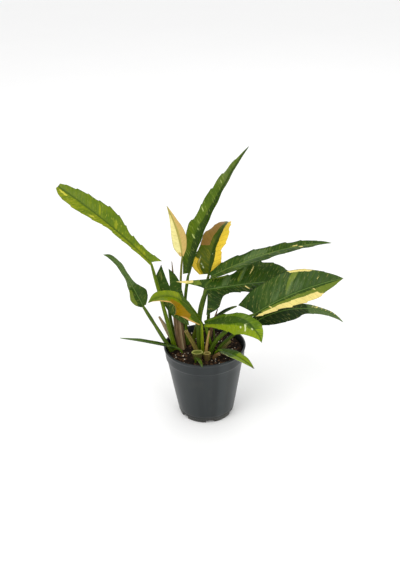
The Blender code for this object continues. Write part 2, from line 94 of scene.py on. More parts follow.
# A mark is a kind of colour and a place on the blade; painted sheen marks are a painted highlight, a pale
# grey-green wash where the glossy blade would shine. Across runs from -1 at the left margin to 1 at the
# right one.
#   band   from the given across value outwards to the margin: (side, ((span, across), ...))
#   strip  from the midrib out to the given across value
#   spot   a soft oval: (span, across, half length in span, half width in across, strength)
#   zone   the whole width between two spans: (from, to)
LEAVES = (
    Leaf("leaf_far_left",
         foot=(-44, 2), joint=(-72, 5, 245), lean=1.0, bow=(0, 0),
         length=170, heading=160, rise=44, sag=18, turn=-6, late=1.0,
         face=((0.25, -0.6, 0.75), (0.1, -0.55, 0.8)),
         outline=((0.0, 4, 13), (0.12, 5, 9), (0.3, 7, 11), (0.48, 8, 20),
                  (0.65, 14, 18), (0.82, 16, 14), (0.94, 12, 9), (1.0, 5, 5)),
         ears=(3, 10, 0.2), teeth=(10, 1.4, 2.4),
         fold=(12, 18), wave=(0.8, 34), veins=(8.5, 0.07), thick=(3.4, 2.4),
         style="light",
         marks=(("lime", "band", -1, ((0.0, 0.1), (1.0, 0.1)), 0.5),
                ("pale", "spot", 0.93, -0.35, 0.06, 0.16, 0.75),
                ("pale", "spot", 0.62, -0.62, 0.06, 0.2, 0.5),
                ("lime", "spot", 0.42, 0.3, 0.02, 0.4, 0.7), ("lime", "spot", 0.6, 0.4, 0.015, 0.4, 0.7),
                ("lime", "spot", 0.12, 0.0, 0.1, 0.8, 0.6))),
    Leaf("leaf_tall",
         foot=(-25, 16), joint=(-20, 18, 220), lean=1.5, bow=(-4, 6),
         length=200, heading=20, rise=74, sag=24, turn=0, late=1.0,
         face=((-0.75, -0.65, 0.2), (-0.75, -0.65, 0.2)),
         outline=((0.0, 8, 5), (0.1, 14, 8), (0.2, 18, 10), (0.33, 23, 11), (0.4, 17, 10),
                  (0.5, 17, 11), (0.62, 14, 9), (0.75, 10, 7), (0.9, 4, 3), (1.0, 0, 0)),
         ears=(4, 3, 0.2), teeth=(8, 2.0, 0.7),
         fold=(35, 35), wave=(0.9, 30), veins=(9, 0.09), thick=(3.0, 2.2),
         style="mid",
         marks=(("deep", "band", 1, ((0.0, 0.0), (1.0, 0.0)), 0.8),
                ("deep", "zone", 0.0, 0.16, 0.5), ("sheen", "zone", 0.68, 1.0, 0.5),
                ("deep", "strip", -1, ((0.0, 0.5), (0.4, 0.35), (0.7, 0.1), (1.0, 0.0)), 0.75),
                ("pale", "spot", 0.27, -0.45, 0.008, 0.2, 0.8),
                ("pale", "spot", 0.33, -0.3, 0.006, 0.15, 0.7),
                ("pale", "spot", 0.47, -0.7, 0.008, 0.25, 0.75),
                ("pale", "spot", 0.7, -0.5, 0.008, 0.3, 0.6))),
    Leaf("leaf_yellow",
         foot=(-18, 23), joint=(9, 30, 212), lean=0.9, bow=(0, 0),
         length=105, heading=32, rise=84, sag=125, turn=50, late=2.0,
         face=((-0.1, -0.9, 0.2), (0.0, 0.3, 1.0)),
         outline=((0.0, 14, 5), (0.12, 26, 12), (0.24, 22, 17), (0.38, 19, 14), (0.52, 20, 17),
                  (0.62, 16, 16), (0.72, 13, 11), (0.86, 7, 6), (1.0, 0, 0)),
         ears=(2, 1, 0.2), teeth=(7, 1.0, 2.2),
         fold=(10, 10), wave=(0.7, 26), veins=(8, 0.09), thick=(3.0, 2.4),
         style="yellow",
         marks=(("pale", "band", 1, ((0.0, 0.3), (0.3, 0.38), (0.6, 0.25), (1.0, 0.2)), 1.1),
                ("lime", "zone", 0.0, 0.18, 0.35),
                ("lime", "band", 1, ((0.0, 0.3), (0.25, 0.4), (0.34, 1.2)), 1.2),
                ("flush", "band", -1, ((0.36, 1.2), (0.4, 0.3), (0.6, 0.28), (0.85, 0.3)), 1.0),
                ("pale", "band", -1, ((0.0, 0.72), (0.2, 0.72), (0.24, 1.2)), 1.0),
                ("lime", "band", -1, ((0.0, 0.55), (0.2, 0.6), (0.24, 1.2)), 1.2),
                ("deep", "strip", 1, ((0.0, 0.3), (0.3, 0.4), (0.6, 0.28), (1.0, 0.2)), 1.0),
                ("sheen", "spot", 0.1, -0.36, 0.022, 0.05, 0.9),
                ("sheen", "spot", 0.14, -0.44, 0.012, 0.09, 0.8),
                ("sheen", "spot", 0.2, -0.66, 0.08, 0.025, 0.8),
                ("sheen", "spot", 0.3, 0.1, 0.02, 0.06, 0.6))),
    Leaf("leaf_cream_young",
         foot=(-30, 32), joint=(-28, 8, 252), lean=3.0, bow=(-3, 0),
         length=78, heading=170, rise=85, sag=18, turn=0, late=1.0,
         face=((0.1, -1.0, 0.1), (0.1, -1.0, 0.2)),
         outline=((0.0, 3, 2), (0.2, 10, 9), (0.45, 9, 11), (0.75, 4, 5), (1.0, 0, 0)),
         ears=(0, 0, 0.2), teeth=(4, 0.4, 0.4),
         fold=(8, 16), wave=(0.3, 25), veins=(6, 0.12), thick=(2.0, 1.6),
         style="cream",
         marks=(("lime", "strip", 1, ((0.0, 0.35), (0.6, 0.25), (1.0, 0.6)), 1.0),
                ("flush", "band", 1, ((0.0, 0.2), (1.0, 0.2)), 0.8),
                ("lime", "zone", 0.85, 1.0, 0.8), ("flush", "spot", 0.02, -0.2, 0.06, 0.9, 0.8))),
    Leaf("leaf_far_right",
         foot=(4, 13), joint=(12, 5, 221), lean=1.2, bow=(0, 2),
         length=192, heading=10, rise=24, sag=36, turn=16, late=1.0,
         face=((-0.3, -0.35, 0.9), (0.0, -0.45, 0.9)),
         outline=((0.0, 6, 5), (0.12, 13, 12), (0.3, 13, 12), (0.5, 11, 11), (0.7, 9, 8),
                  (0.88, 5, 4), (1.0, 0, 0)),
         ears=(3, 3, 0.2), teeth=(8, 2.0, 1.0),
         fold=(12, 12), wave=(0.8, 38), veins=(9, 0.09), thick=(2.8, 2.0),
         style="dark",
         marks=(("lime", "strip", 1, ((0.0, 0.16), (0.5, 0.2)), 0.75),
                ("sheen", "spot", 0.24, 0.3, 0.1, 0.3, 0.6),
                ("sheen", "spot", 0.36, -0.3, 0.12, 0.7, 0.8), ("lime", "spot", 0.35, -0.2, 0.08, 0.3, 0.6),
                ("lime", "spot", 0.66, -0.1, 0.05, 0.3, 0.6),
                ("pale", "spot", 0.68, -0.2, 0.03, 0.12, 0.75), ("pale", "spot", 0.72, 0.2, 0.02, 0.3, 0.7),
                ("lime", "spot", 0.8, 0.1, 0.08, 0.3, 0.6))),
    Leaf("leaf_broad_right",
         foot=(8, -14), joint=(70, -30, 177), lean=1.7, bow=(0, 0),
         length=137, heading=-8, rise=38, sag=20, turn=-5, late=1.0,
         face=((-0.35, -0.65, 0.7), (-0.15, -0.6, 0.8)),
         outline=((0.0, 24, 4), (0.12, 32, 10), (0.3, 34, 15), (0.5, 34, 20), (0.68, 26, 21),
                  (0.84, 15, 14), (0.94, 6, 6), (1.0, 0, 0)),
         ears=(16, 2, 0.2), teeth=(6, 1.0, 2.6),
         fold=(8, 12), wave=(0.9, 40), veins=(9.5, 0.16), thick=(3.4, 2.6),
         style="dark",
         marks=(("sheen", "spot", 0.3, -0.35, 0.12, 0.5, 0.55),
                ("sheen", "spot", 0.5, -0.25, 0.14, 0.4, 0.55),
                ("deep", "zone", 0.0, 0.1, 0.45),
                ("lime", "band", 1, ((0.1, 0.2), (0.9, 0.2), (1.0, 0.3)), 0.75),
                ("pale", "band", 1, ((0.0, 1.2), (0.06, 0.55), (0.3, 0.5), (0.72, 0.52), (0.82, 1.2)), 1.2),
                ("pale", "band", -1, ((0.42, 1.2), (0.5, 0.9), (0.68, 0.86), (0.78, 1.1)), 1.0),
                ("lime", "spot", 0.5, -0.65, 0.03, 0.5, 0.9), ("lime", "spot", 0.56, -0.8, 0.02, 0.3, 0.8),
                ("pale", "spot", 0.76, -0.5, 0.012, 0.25, 0.6), ("pale", "spot", 0.2, 0.3, 0.01, 0.25, 0.6),
                ("pale", "spot", 0.7, 0.25, 0.01, 0.2, 0.6))),
    Leaf("leaf_centre_right",
         foot=(-6, -4), joint=(5, -5, 205), lean=2.5, bow=(-3, -1),
         length=145, heading=15, rise=0, sag=30, turn=14, late=3.0,
         face=((-0.2, -0.6, 0.8), (0.1, -0.4, 0.9)),
         outline=((0, 19, 42), (0.06, 16, 34), (0.14, 17, 16), (0.24, 17, 12), (0.34, 22, 14),
                  (0.44, 33, 18), (0.6, 34, 20), (0.8, 28, 16), (0.94, 16, 8), (1, 0, 0)),
         ears=(42, 12, 0.08), teeth=(8, 2.0, 2.0),
         fold=(12, 8), wave=(0.9, 42), veins=(9.5, 0.16), thick=(4.6, 3.6),
         style="dark",
         marks=(("pale", "band", -1, ((0.0, 0.72), (0.02, 0.75), (0.04, 1.2)), 1.2),
                ("lime", "band", -1, ((0.0, 0.4), (0.03, 0.5), (0.05, 1.2)), 0.7),
                ("sheen", "spot", 0.22, -0.5, 0.06, 0.6, 0.7), ("sheen", "spot", 0.13, -0.02, 0.05, 0.1, 1.1),
                ("lime", "band", -1, ((0.05, 1.2), (0.08, 0.84), (0.2, 0.84), (0.3, 1.2)), 0.9),
                ("lime", "spot", 0.36, -0.5, 0.022, 0.3, 0.9), ("sheen", "spot", 0.4, -0.55, 0.03, 0.5, 0.8),
                ("pale", "spot", 0.5, -0.6, 0.007, 0.25, 0.9), ("pale", "spot", 0.4, 0.4, 0.012, 0.25, 0.8),
                ("deep", "band", 1, ((0.0, 0.0), (0.3, 0.3), (1.0, 0.3)), 0.6))),
    Leaf("leaf_low_right",
         foot=(19, -8), joint=(75, -6, 152), lean=1.5, bow=(0, 0),
         length=152, heading=17, rise=22, sag=68, turn=0, late=1.0,
         face=((-0.3, -0.6, 0.8), (0.3, -0.5, 0.8)),
         outline=((0.0, 8, 8), (0.15, 14, 18), (0.35, 15, 18), (0.5, 8, 10), (0.75, 5, 6),
                  (0.9, 3, 3), (1.0, 0, 0)),
         ears=(2, 2, 0.2), teeth=(6, 1.0, 1.0),
         fold=(5, 5), wave=(0.6, 40), veins=(9, 0.09), thick=(2.6, 2.0),
         style="dark",
         marks=(("deep", "zone", 0.0, 0.5, 0.9), ("sheen", "zone", 0.58, 1.0, 1.1),
                ("pale", "band", -1, ((0.58, 0.3), (1.0, 0.4)), 0.4), ("lime", "zone", 0.62, 1.0, 0.35))),
    Leaf("leaf_front_left",
         foot=(-3, -16), joint=(-4, -16, 157), lean=1.0, bow=(0, 0),
         length=112, heading=210, rise=62, sag=88, turn=0, late=2.2,
         face=((-0.3, -0.75, 0.5), (-0.5, -0.4, 0.8)),
         outline=((0.0, 4, 3), (0.15, 14, 6), (0.4, 22, 7), (0.65, 20, 8), (0.85, 12, 8),
                  (1.0, 0, 0)),
         ears=(2, 2, 0.2), teeth=(6, 1.0, 0.5),
         fold=(10, 40), wave=(0.7, 32), veins=(7.5, 0.1), thick=(2.8, 2.2),
         style="gold",
         marks=(("flush", "band", -1, ((0.12, 1.2), (0.2, 0.35), (0.5, 0.2), (0.7, 0.3), (0.78, 1.2)), 1.0),
                ("pale", "band", -1, ((0.0, 0.7), (0.2, 0.82), (0.34, 1.1)), 1.0),
                ("pale", "band", -1, ((0.66, 1.2), (0.74, 0.75), (0.95, 0.8)), 0.8),
                ("deep", "strip", -1, ((0.0, 0.9), (0.15, 0.6), (0.5, 0.15), (0.6, 0.0)), 0.8),
                ("deep", "band", 1, ((0.0, 0.0), (0.5, 0.1), (0.62, 1.2)), 0.8))),
    Leaf("leaf_front_right",
         foot=(12, -4), joint=(1, -10, 152), lean=1.0, bow=(0, -4),
         length=108, heading=-31, rise=22, sag=84, turn=-32, late=3.0,
         face=((-0.2, -0.6, 0.8), (0.5, -0.6, 0.5)),
         outline=((0.0, 5, 4), (0.15, 9, 8), (0.4, 12, 16), (0.62, 14, 22), (0.82, 12, 17),
                  (1.0, 0, 0)),
         ears=(2, 2, 0.2), teeth=(6, 1.0, 1.5),
         fold=(12, 8), wave=(0.9, 30), veins=(8.5, 0.15), thick=(2.6, 2.0),
         style="fresh",
         marks=(("deep", "strip", -1, ((0.0, 0.5), (0.4, 0.7), (0.7, 0.3), (0.85, 0.0)), 0.9),
                ("deep", "strip", 1, ((0.0, 0.2), (0.4, 0.3), (0.6, 0.0)), 0.7),
                ("lime", "band", 1, ((0.0, 0.2), (0.3, 0.35), (1.0, 0.1)), 0.8),
                ("lime", "zone", 0.82, 1.0, 0.55),
                ("pale", "spot", 0.66, 0.1, 0.02, 0.25, 0.85), ("pale", "spot", 0.72, 0.45, 0.015, 0.2, 0.9),
                ("pale", "spot", 0.62, 0.35, 0.02, 0.1, 0.8), ("pale", "spot", 0.78, 0.1, 0.02, 0.15, 0.7))),
    Leaf("leaf_left_twisted",
         foot=(-49, -4), joint=(-86, -8, 183), lean=1.0, bow=(0, 0),
         length=118, heading=215, rise=68, sag=42, turn=15, late=4.0,
         face=((0.1, -0.8, 0.6), (0.3, -0.8, 0.5)),
         outline=((0.0, 3, 5), (0.09, 10, 12), (0.2, 12, 15), (0.32, 8, 8), (0.45, 5, 4), (0.7, 4, 4),
                  (0.9, 3, 3), (1.0, 0, 0)),
         ears=(0, 0, 0.2), teeth=(5, 1.0, 1.0),
         fold=(10, 10), wave=(1.2, 26), veins=(8, 0.12), thick=(3.2, 2.4),
         style="dark",
         marks=(("lime", "band", -1, ((0.0, 1.2), (0.1, 0.5), (0.3, 0.4), (0.36, 1.2)), 0.9),
                ("sheen", "zone", 0.36, 1.0, 0.7))),
    Leaf("leaf_behind_left",
         foot=(-43, 28), joint=(-48, 22, 198), lean=3.0, bow=(-7, 4),
         length=65, heading=-60, rise=-70, sag=-22, turn=45, late=1.0,
         face=((-0.1, -0.9, 0.4), (0.0, -0.8, 0.6)),
         outline=((0.0, 4, 5), (0.1, 13, 15), (0.25, 17, 18), (0.5, 14, 14), (0.8, 7, 7), (1.0, 0, 0)),
         ears=(26, 34, 0.6), teeth=(4, 1.0, 1.0),
         fold=(5, 5), wave=(0.8, 30), veins=(8, 0.12), thick=(2.8, 2.2),
         style="dark",
         marks=(("lime", "spot", 0.3, 0.3, 0.2, 0.4, 0.5), ("pale", "spot", 0.45, -0.3, 0.02, 0.12, 0.6))),
    Leaf("leaf_small_centre",
         foot=(15, 10), joint=(13, 10, 148), lean=1.0, bow=(0, 1),
         length=42, heading=-6, rise=42, sag=18, turn=0, late=1.0,
         face=((0.0, -0.2, 1.0), (0.0, -0.3, 1.0)),
         outline=((0.0, 2, 2), (0.4, 3.5, 3.5), (0.8, 3, 3), (1.0, 1, 1)),
         ears=(0, 0, 0.2), teeth=(3, 0.2, 0.2),
         fold=(25, 25), wave=(0.3, 20), veins=(5, 0.08), thick=(1.6, 1.2),
         style="dark",
         marks=(("deep", "zone", 0.0, 0.7, 1.0), ("lime", "zone", 0.8, 1.0, 1.3))),
    Leaf("leaf_blade_left",
         foot=(-33, -12), joint=(-43, -13, 117), lean=2.0, bow=(0, 0),
         length=82, heading=185, rise=18, sag=4, turn=0, late=1.0,
         face=((0.2, -0.1, 1.0), (0.2, -0.1, 1.0)),
         outline=((0.0, 3, 3), (0.3, 4, 4), (0.6, 4, 4), (1.0, 0, 0)),
         ears=(0, 0, 0.2), teeth=(3, 0.3, 0.3),
         fold=(15, 15), wave=(0.3, 24), veins=(6, 0.1), thick=(1.8, 1.5),
         style="dark",
         marks=(("deep", "zone", 0.0, 0.3, 0.6), ("sheen", "zone", 0.6, 1.0, 0.7))),
    Leaf("leaf_low_front",
         foot=(15, -17), joint=(21, -20, 114), lean=2.0, bow=(0, 0),
         length=73, heading=-46, rise=14, sag=24, turn=-8, late=1.0,
         face=((0.0, -0.2, 1.0), (0.2, -0.3, 0.9)),
         outline=((0.0, 3, 3), (0.25, 8, 8), (0.55, 8, 8), (0.8, 5, 5), (1.0, 0, 0)),
         ears=(0, 0, 0.2), teeth=(4, 0.5, 0.8),
         fold=(10, 10), wave=(0.4, 26), veins=(7, 0.1), thick=(2.0, 1.8),
         style="fresh",
         marks=(("deep", "zone", 0.0, 0.36, 1.1), ("lime", "zone", 0.5, 1.0, 0.85),
                ("deep", "band", -1, ((0.0, 0.2), (0.9, 0.7)), 0.6),
                ("pale", "band", 1, ((0.1, 0.85), (0.8, 0.9)), 0.8), ("flush", "zone", 0.97, 1.1, 1.0))),
    Leaf("leaf_tiny_front",
         foot=(-14, -36), joint=(-13, -40, 115), lean=2.0, bow=(0, 0),
         length=29, heading=-71, rise=16, sag=30, turn=0, late=1.0,
         face=((0.4, 0.0, 1.0), (0.4, 0.0, 1.0)),
         outline=((0.0, 1.5, 1.5), (0.35, 4, 4), (0.7, 2.5, 2.5), (1.0, 0, 0)),
         ears=(0, 0, 0.2), teeth=(3, 0.3, 0.3),
         fold=(20, 20), wave=(0.2, 18), veins=(5, 0.08), thick=(1.5, 1.2),
         style="mid",
         marks=(("deep", "zone", 0.0, 0.4, 0.6), ("sheen", "zone", 0.8, 1.0, 0.8))),
)

# A palette row: base, deep, lime, pale, flush, painted sheen (a painted highlight) and rib colours (display
# values), then how strong the speckles are and how far the veins' streaks break up the edges of the patches.
PALETTES = {
    "light": ((90, 112, 4), (60, 84, 2), (134, 142, 12), (190, 184, 62), (150, 120, 40),
              (124, 138, 50), (58, 82, 4), 0.8, 0.9),
    "mid": ((76, 100, 8), (38, 62, 2), (116, 132, 26), (170, 184, 104), (120, 100, 50),
            (96, 108, 58), (48, 76, 8), 0.5, 0.9),
    "yellow": ((76, 92, 4), (46, 66, 4), (166, 144, 8), (226, 192, 54), (142, 108, 50),
               (206, 214, 176), (54, 76, 8), 0.1, 0.3),
    "cream": ((224, 216, 146), (186, 160, 88), (146, 140, 58), (236, 230, 172), (188, 160, 92),
              (226, 214, 160), (146, 138, 62), 0.0, 0.3),
    "dark": ((42, 70, 4), (18, 40, 0), (104, 120, 34), (222, 204, 124), (118, 98, 48),
             (82, 104, 56), (84, 112, 44), 0.3, 1.1),
    "gold": ((110, 128, 2), (52, 78, 2), (166, 162, 22), (206, 162, 92), (142, 108, 4),
             (140, 146, 50), (80, 100, 8), 0.1, 0.6),
    "fresh": ((80, 108, 4), (42, 70, 2), (126, 146, 8), (200, 210, 152), (110, 92, 40),
              (140, 160, 96), (56, 84, 4), 0.25, 0.9),
}

# One row for each leafless piece that stands in the soil.
#   foot     where it stands on the soil: x, y
#   top      where it ends: x, y, z
#   lean     how late it leans over, as for a petiole
#   radii    its radius at equal steps along the line
#   flat     how much of that radius is kept from front to back
#   seam     angle of the open edge of a sheath, in degrees, or None for a round piece
#   end      cut for a cut end with a rim, or point
#   colours  body, streak and rim (display values)
Stub = namedtuple("Stub", "name foot top lean radii flat seam end colours")

STUBS = (
    Stub("sheath_brown", (-34, 6), (-44, 38, 230), 0.75,
         (6.5, 6.8, 6.2, 3.5, 1.8, 0.5), 0.7, -120, "point", ((124, 100, 70), (84, 62, 34), (176, 160, 124))),
    Stub("stub_tan_left", (-43, 10), (-65, 10, 155), 1.1,
         (2.4, 3.6, 1.6), 0.5, -60, "cut",
         ((160, 142, 112), (108, 88, 60), (196, 184, 156))),
    Stub("petiole_cut", (-10, -18), (-26, -20, 147), 1.2,
         (3.4, 3.2, 2.8), 1.0, None, "cut",
         ((112, 100, 44), (74, 66, 24), (170, 152, 92))),
    Stub("sheath_tan", (1, -23), (7, -22, 148), 1.4,
         (2.2, 2.0, 1.0), 0.6, -100, "point",
         ((156, 128, 70), (112, 86, 40), (190, 164, 104))),
    Stub("spike_brown", (3, -6), (20, 2, 169), 1.4,
         (3.0, 2.6, 0.7), 0.7, -80, "point",
         ((110, 84, 56), (74, 54, 34), (146, 116, 84))),
    Stub("stem_stump_left", (-11, -29), (-11, -29, 117), 1.0,
         (5.0, 6.0, 8.4), 0.7,
         None, "cut", ((74, 66, 34), (92, 104, 34), (168, 172, 92))),
    Stub("stem_stump_right", (3, -31), (3, -31, 116), 1.0,
         (3.4, 4.0, 5.4), 0.8,
         None, "cut", ((80, 66, 34), (104, 92, 40), (172, 160, 92))),
    Stub("stub_tan_right", (27, -4), (38, 2, 115), 2.0,
         (2.2, 2.6, 2.4), 0.7, None, "cut",
         ((112, 108, 56), (76, 70, 34), (166, 154, 98))),
    Stub("stub_brown_front", (13, -28), (20, -33, 115), 2.0,
         (2.6, 2.8, 2.6), 0.8, None, "cut",
         ((120, 94, 54), (78, 58, 32), (176, 150, 104))),
)


# Paler bands painted up the pot as highlights, where the lit plastic would shine: angle around it, half
# width, both in degrees, and strength.
PAINTED_HIGHLIGHT_BANDS = ((-62, 11, 0.7), (-20, 24, 0.6), (-165, 26, 0.5), (-118, 16, 0.25), (62, 20, 0.5),
              (118, 14, 0.4))


def display(colour):
    """Turns a display colour of 0 to 255 into the linear values that shaders take."""
    return tuple((part / 255.0 / 12.92) if part <= 10 else ((part / 255.0 + 0.055) / 1.055) ** 2.4
                 for part in colour)


def blend_colours(first, second, share):
    """A colour between two display colours."""
    return tuple(a + (b - a) * share for a, b in zip(first, second))


class PotSettings(bpy.types.PropertyGroup):
    radius: FloatProperty(name="Rim Radius", description="Outer radius of the pot's rim",
                          default=POT_HIGH.x, min=0.02, max=0.3, unit="LENGTH")
    height: FloatProperty(name="Height", description="Height of the pot",
                          default=POT_HIGH.z, min=0.02, max=0.5, unit="LENGTH")
    base_radius: FloatProperty(name="Base Radius", description="Outer radius just above the floor",
                               default=0.0405, min=0.01, max=0.3, unit="LENGTH")
    wall: FloatProperty(name="Wall", description="Thickness of the wall",
                        default=0.0018, min=0.0005, max=0.01, unit="LENGTH")
    collar: FloatProperty(name="Collar", description="Height of the wider band under the rim",
                          default=0.018, min=0.005, max=0.05, unit="LENGTH")
    segments: IntProperty(name="Segments", description="Flats around the pot", default=144, min=24, max=360)
    colour: FloatVectorProperty(name="Plastic", description="Colour of the pot's plastic", subtype="COLOR",
                                size=3, min=0.0, max=1.0, default=display((29, 34, 35)))


class SoilSettings(bpy.types.PropertyGroup):
    colour: FloatVectorProperty(name="Soil", description="Colour of the damp soil", subtype="COLOR",
                                size=3, min=0.0, max=1.0, default=display((34, 25, 16)))
    chip_colour: FloatVectorProperty(name="Bark", description="Colour of the bark chips", subtype="COLOR",
                                     size=3, min=0.0, max=1.0, default=display((92, 66, 44)))
    grain_colour: FloatVectorProperty(name="Perlite", description="Colour of the perlite grains",
                                      subtype="COLOR", size=3, min=0.0, max=1.0,
                                      default=display((226, 222, 210)))
    chips: IntProperty(name="Chips", description="How many bark chips lie on the soil",
                       default=420, min=0, max=2000)
    grains: IntProperty(name="Grains", description="How many perlite grains lie on the soil",
                        default=70, min=0, max=500)


class LeafSettings(bpy.types.PropertyGroup):
    thickness: FloatProperty(name="Thickness", description="Thickness of a blade beside its midrib",
                             default=0.0006, min=0.0002, max=0.003, unit="LENGTH")
    keel: FloatProperty(name="Midrib", description="How far the midrib stands out under the blade",
                        default=0.0016, min=0.0, max=0.006, unit="LENGTH")
    row_step: FloatProperty(name="Detail", description="Distance between rows of the blade's mesh",
                            default=0.0012, min=0.0005, max=0.01, unit="LENGTH")
    roughness: FloatProperty(name="Roughness", description="Roughness of the upper side", default=0.36,
                             min=0.0, max=1.0, subtype="FACTOR")


class StageSettings(bpy.types.PropertyGroup):
    floor_colour: FloatVectorProperty(name="Floor", description="Colour of the floor", subtype="COLOR",
                                      size=3, min=0.0, max=1.0, default=(0.97, 0.97, 0.97))
    distance: FloatProperty(name="Camera Distance", description="From the camera to the plant's middle",
                            default=1.2, min=0.3, max=5.0, unit="LENGTH")
    elevation: FloatProperty(name="Camera Elevation", description="How far above the horizon it looks from",
                             default=math.radians(27.4), min=0.0, max=math.radians(90), subtype="ANGLE")
    roll: FloatProperty(name="Camera Roll", description="Turn about the line of sight",
                        default=math.radians(-1.7), min=-0.5, max=0.5, subtype="ANGLE")
    lens: FloatProperty(name="Lens", description="Focal length in millimetres", default=53.62,
                        min=10.0, max=300.0)
    soft_light: FloatProperty(name="Room Light", description="Strength of the light from all round",
                              default=0.94, min=0.0, max=5.0)


# Node helpers.

def node(tree, kind, inputs=None, **settings):
    """Adds a node, sets its options and fills its inputs with values or links."""
    made = tree.nodes.new("ShaderNode" + kind)
    for key, value in settings.items():
        setattr(made, key, value)
    for key, value in (inputs or {}).items():
        socket = made.inputs[key]
        if isinstance(value, bpy.types.NodeSocket):
            tree.links.new(value, socket)
        else:
            socket.default_value = value
    return made


def maths(tree, operation, first, second=0.0, third=0.0, clamp=False):
    """A Math node's output."""
    made = node(tree, "Math", {0: first, 1: second, 2: third}, operation=operation, use_clamp=clamp)
    return made.outputs[0]


def smooth_step(tree, value, low, high):
    """0 below low, 1 above high and a smooth rise between."""
    made = node(tree, "MapRange", {"Value": value, "From Min": low, "From Max": high},
                interpolation_type="SMOOTHSTEP")
    return made.outputs["Result"]


def mixed(tree, share, first, second, blend="MIX"):
    """A colour between two, or a blend of them."""
    made = node(tree, "Mix", {0: share, 6: first, 7: second}, data_type="RGBA", blend_type=blend)
    return made.outputs[2]


def noise_value(tree, vector, scale, detail=2.0, rough=0.5):
    """A Noise Texture's value."""
    inputs = {"Vector": vector, "Scale": scale, "Detail": detail, "Roughness": rough}
    return node(tree, "TexNoise", inputs).outputs["Fac"]


def vector_of(tree, x, y, z):
    """A vector from three values."""
    return node(tree, "CombineXYZ", {0: x, 1: y, 2: z}).outputs[0]


def parts_of(tree, vector):
    """The three values of a vector."""
    return node(tree, "SeparateXYZ", {0: vector}).outputs[:3]


def attribute(tree, name, output="Vector"):
    """An attribute of the mesh."""
    return node(tree, "Attribute", attribute_name=name).outputs[output]


def new_group(name, inputs, outputs):
    """An empty shader node group with its sockets; returns the group, its input node and its output node."""
    group = bpy.data.node_groups.new(name, "ShaderNodeTree")
    for way, sockets in (("INPUT", inputs), ("OUTPUT", outputs)):
        for socket_name, kind in sockets:
            group.interface.new_socket(name=socket_name, in_out=way, socket_type="NodeSocket" + kind)
    return group, group.nodes.new("NodeGroupInput").outputs, group.nodes.new("NodeGroupOutput").inputs


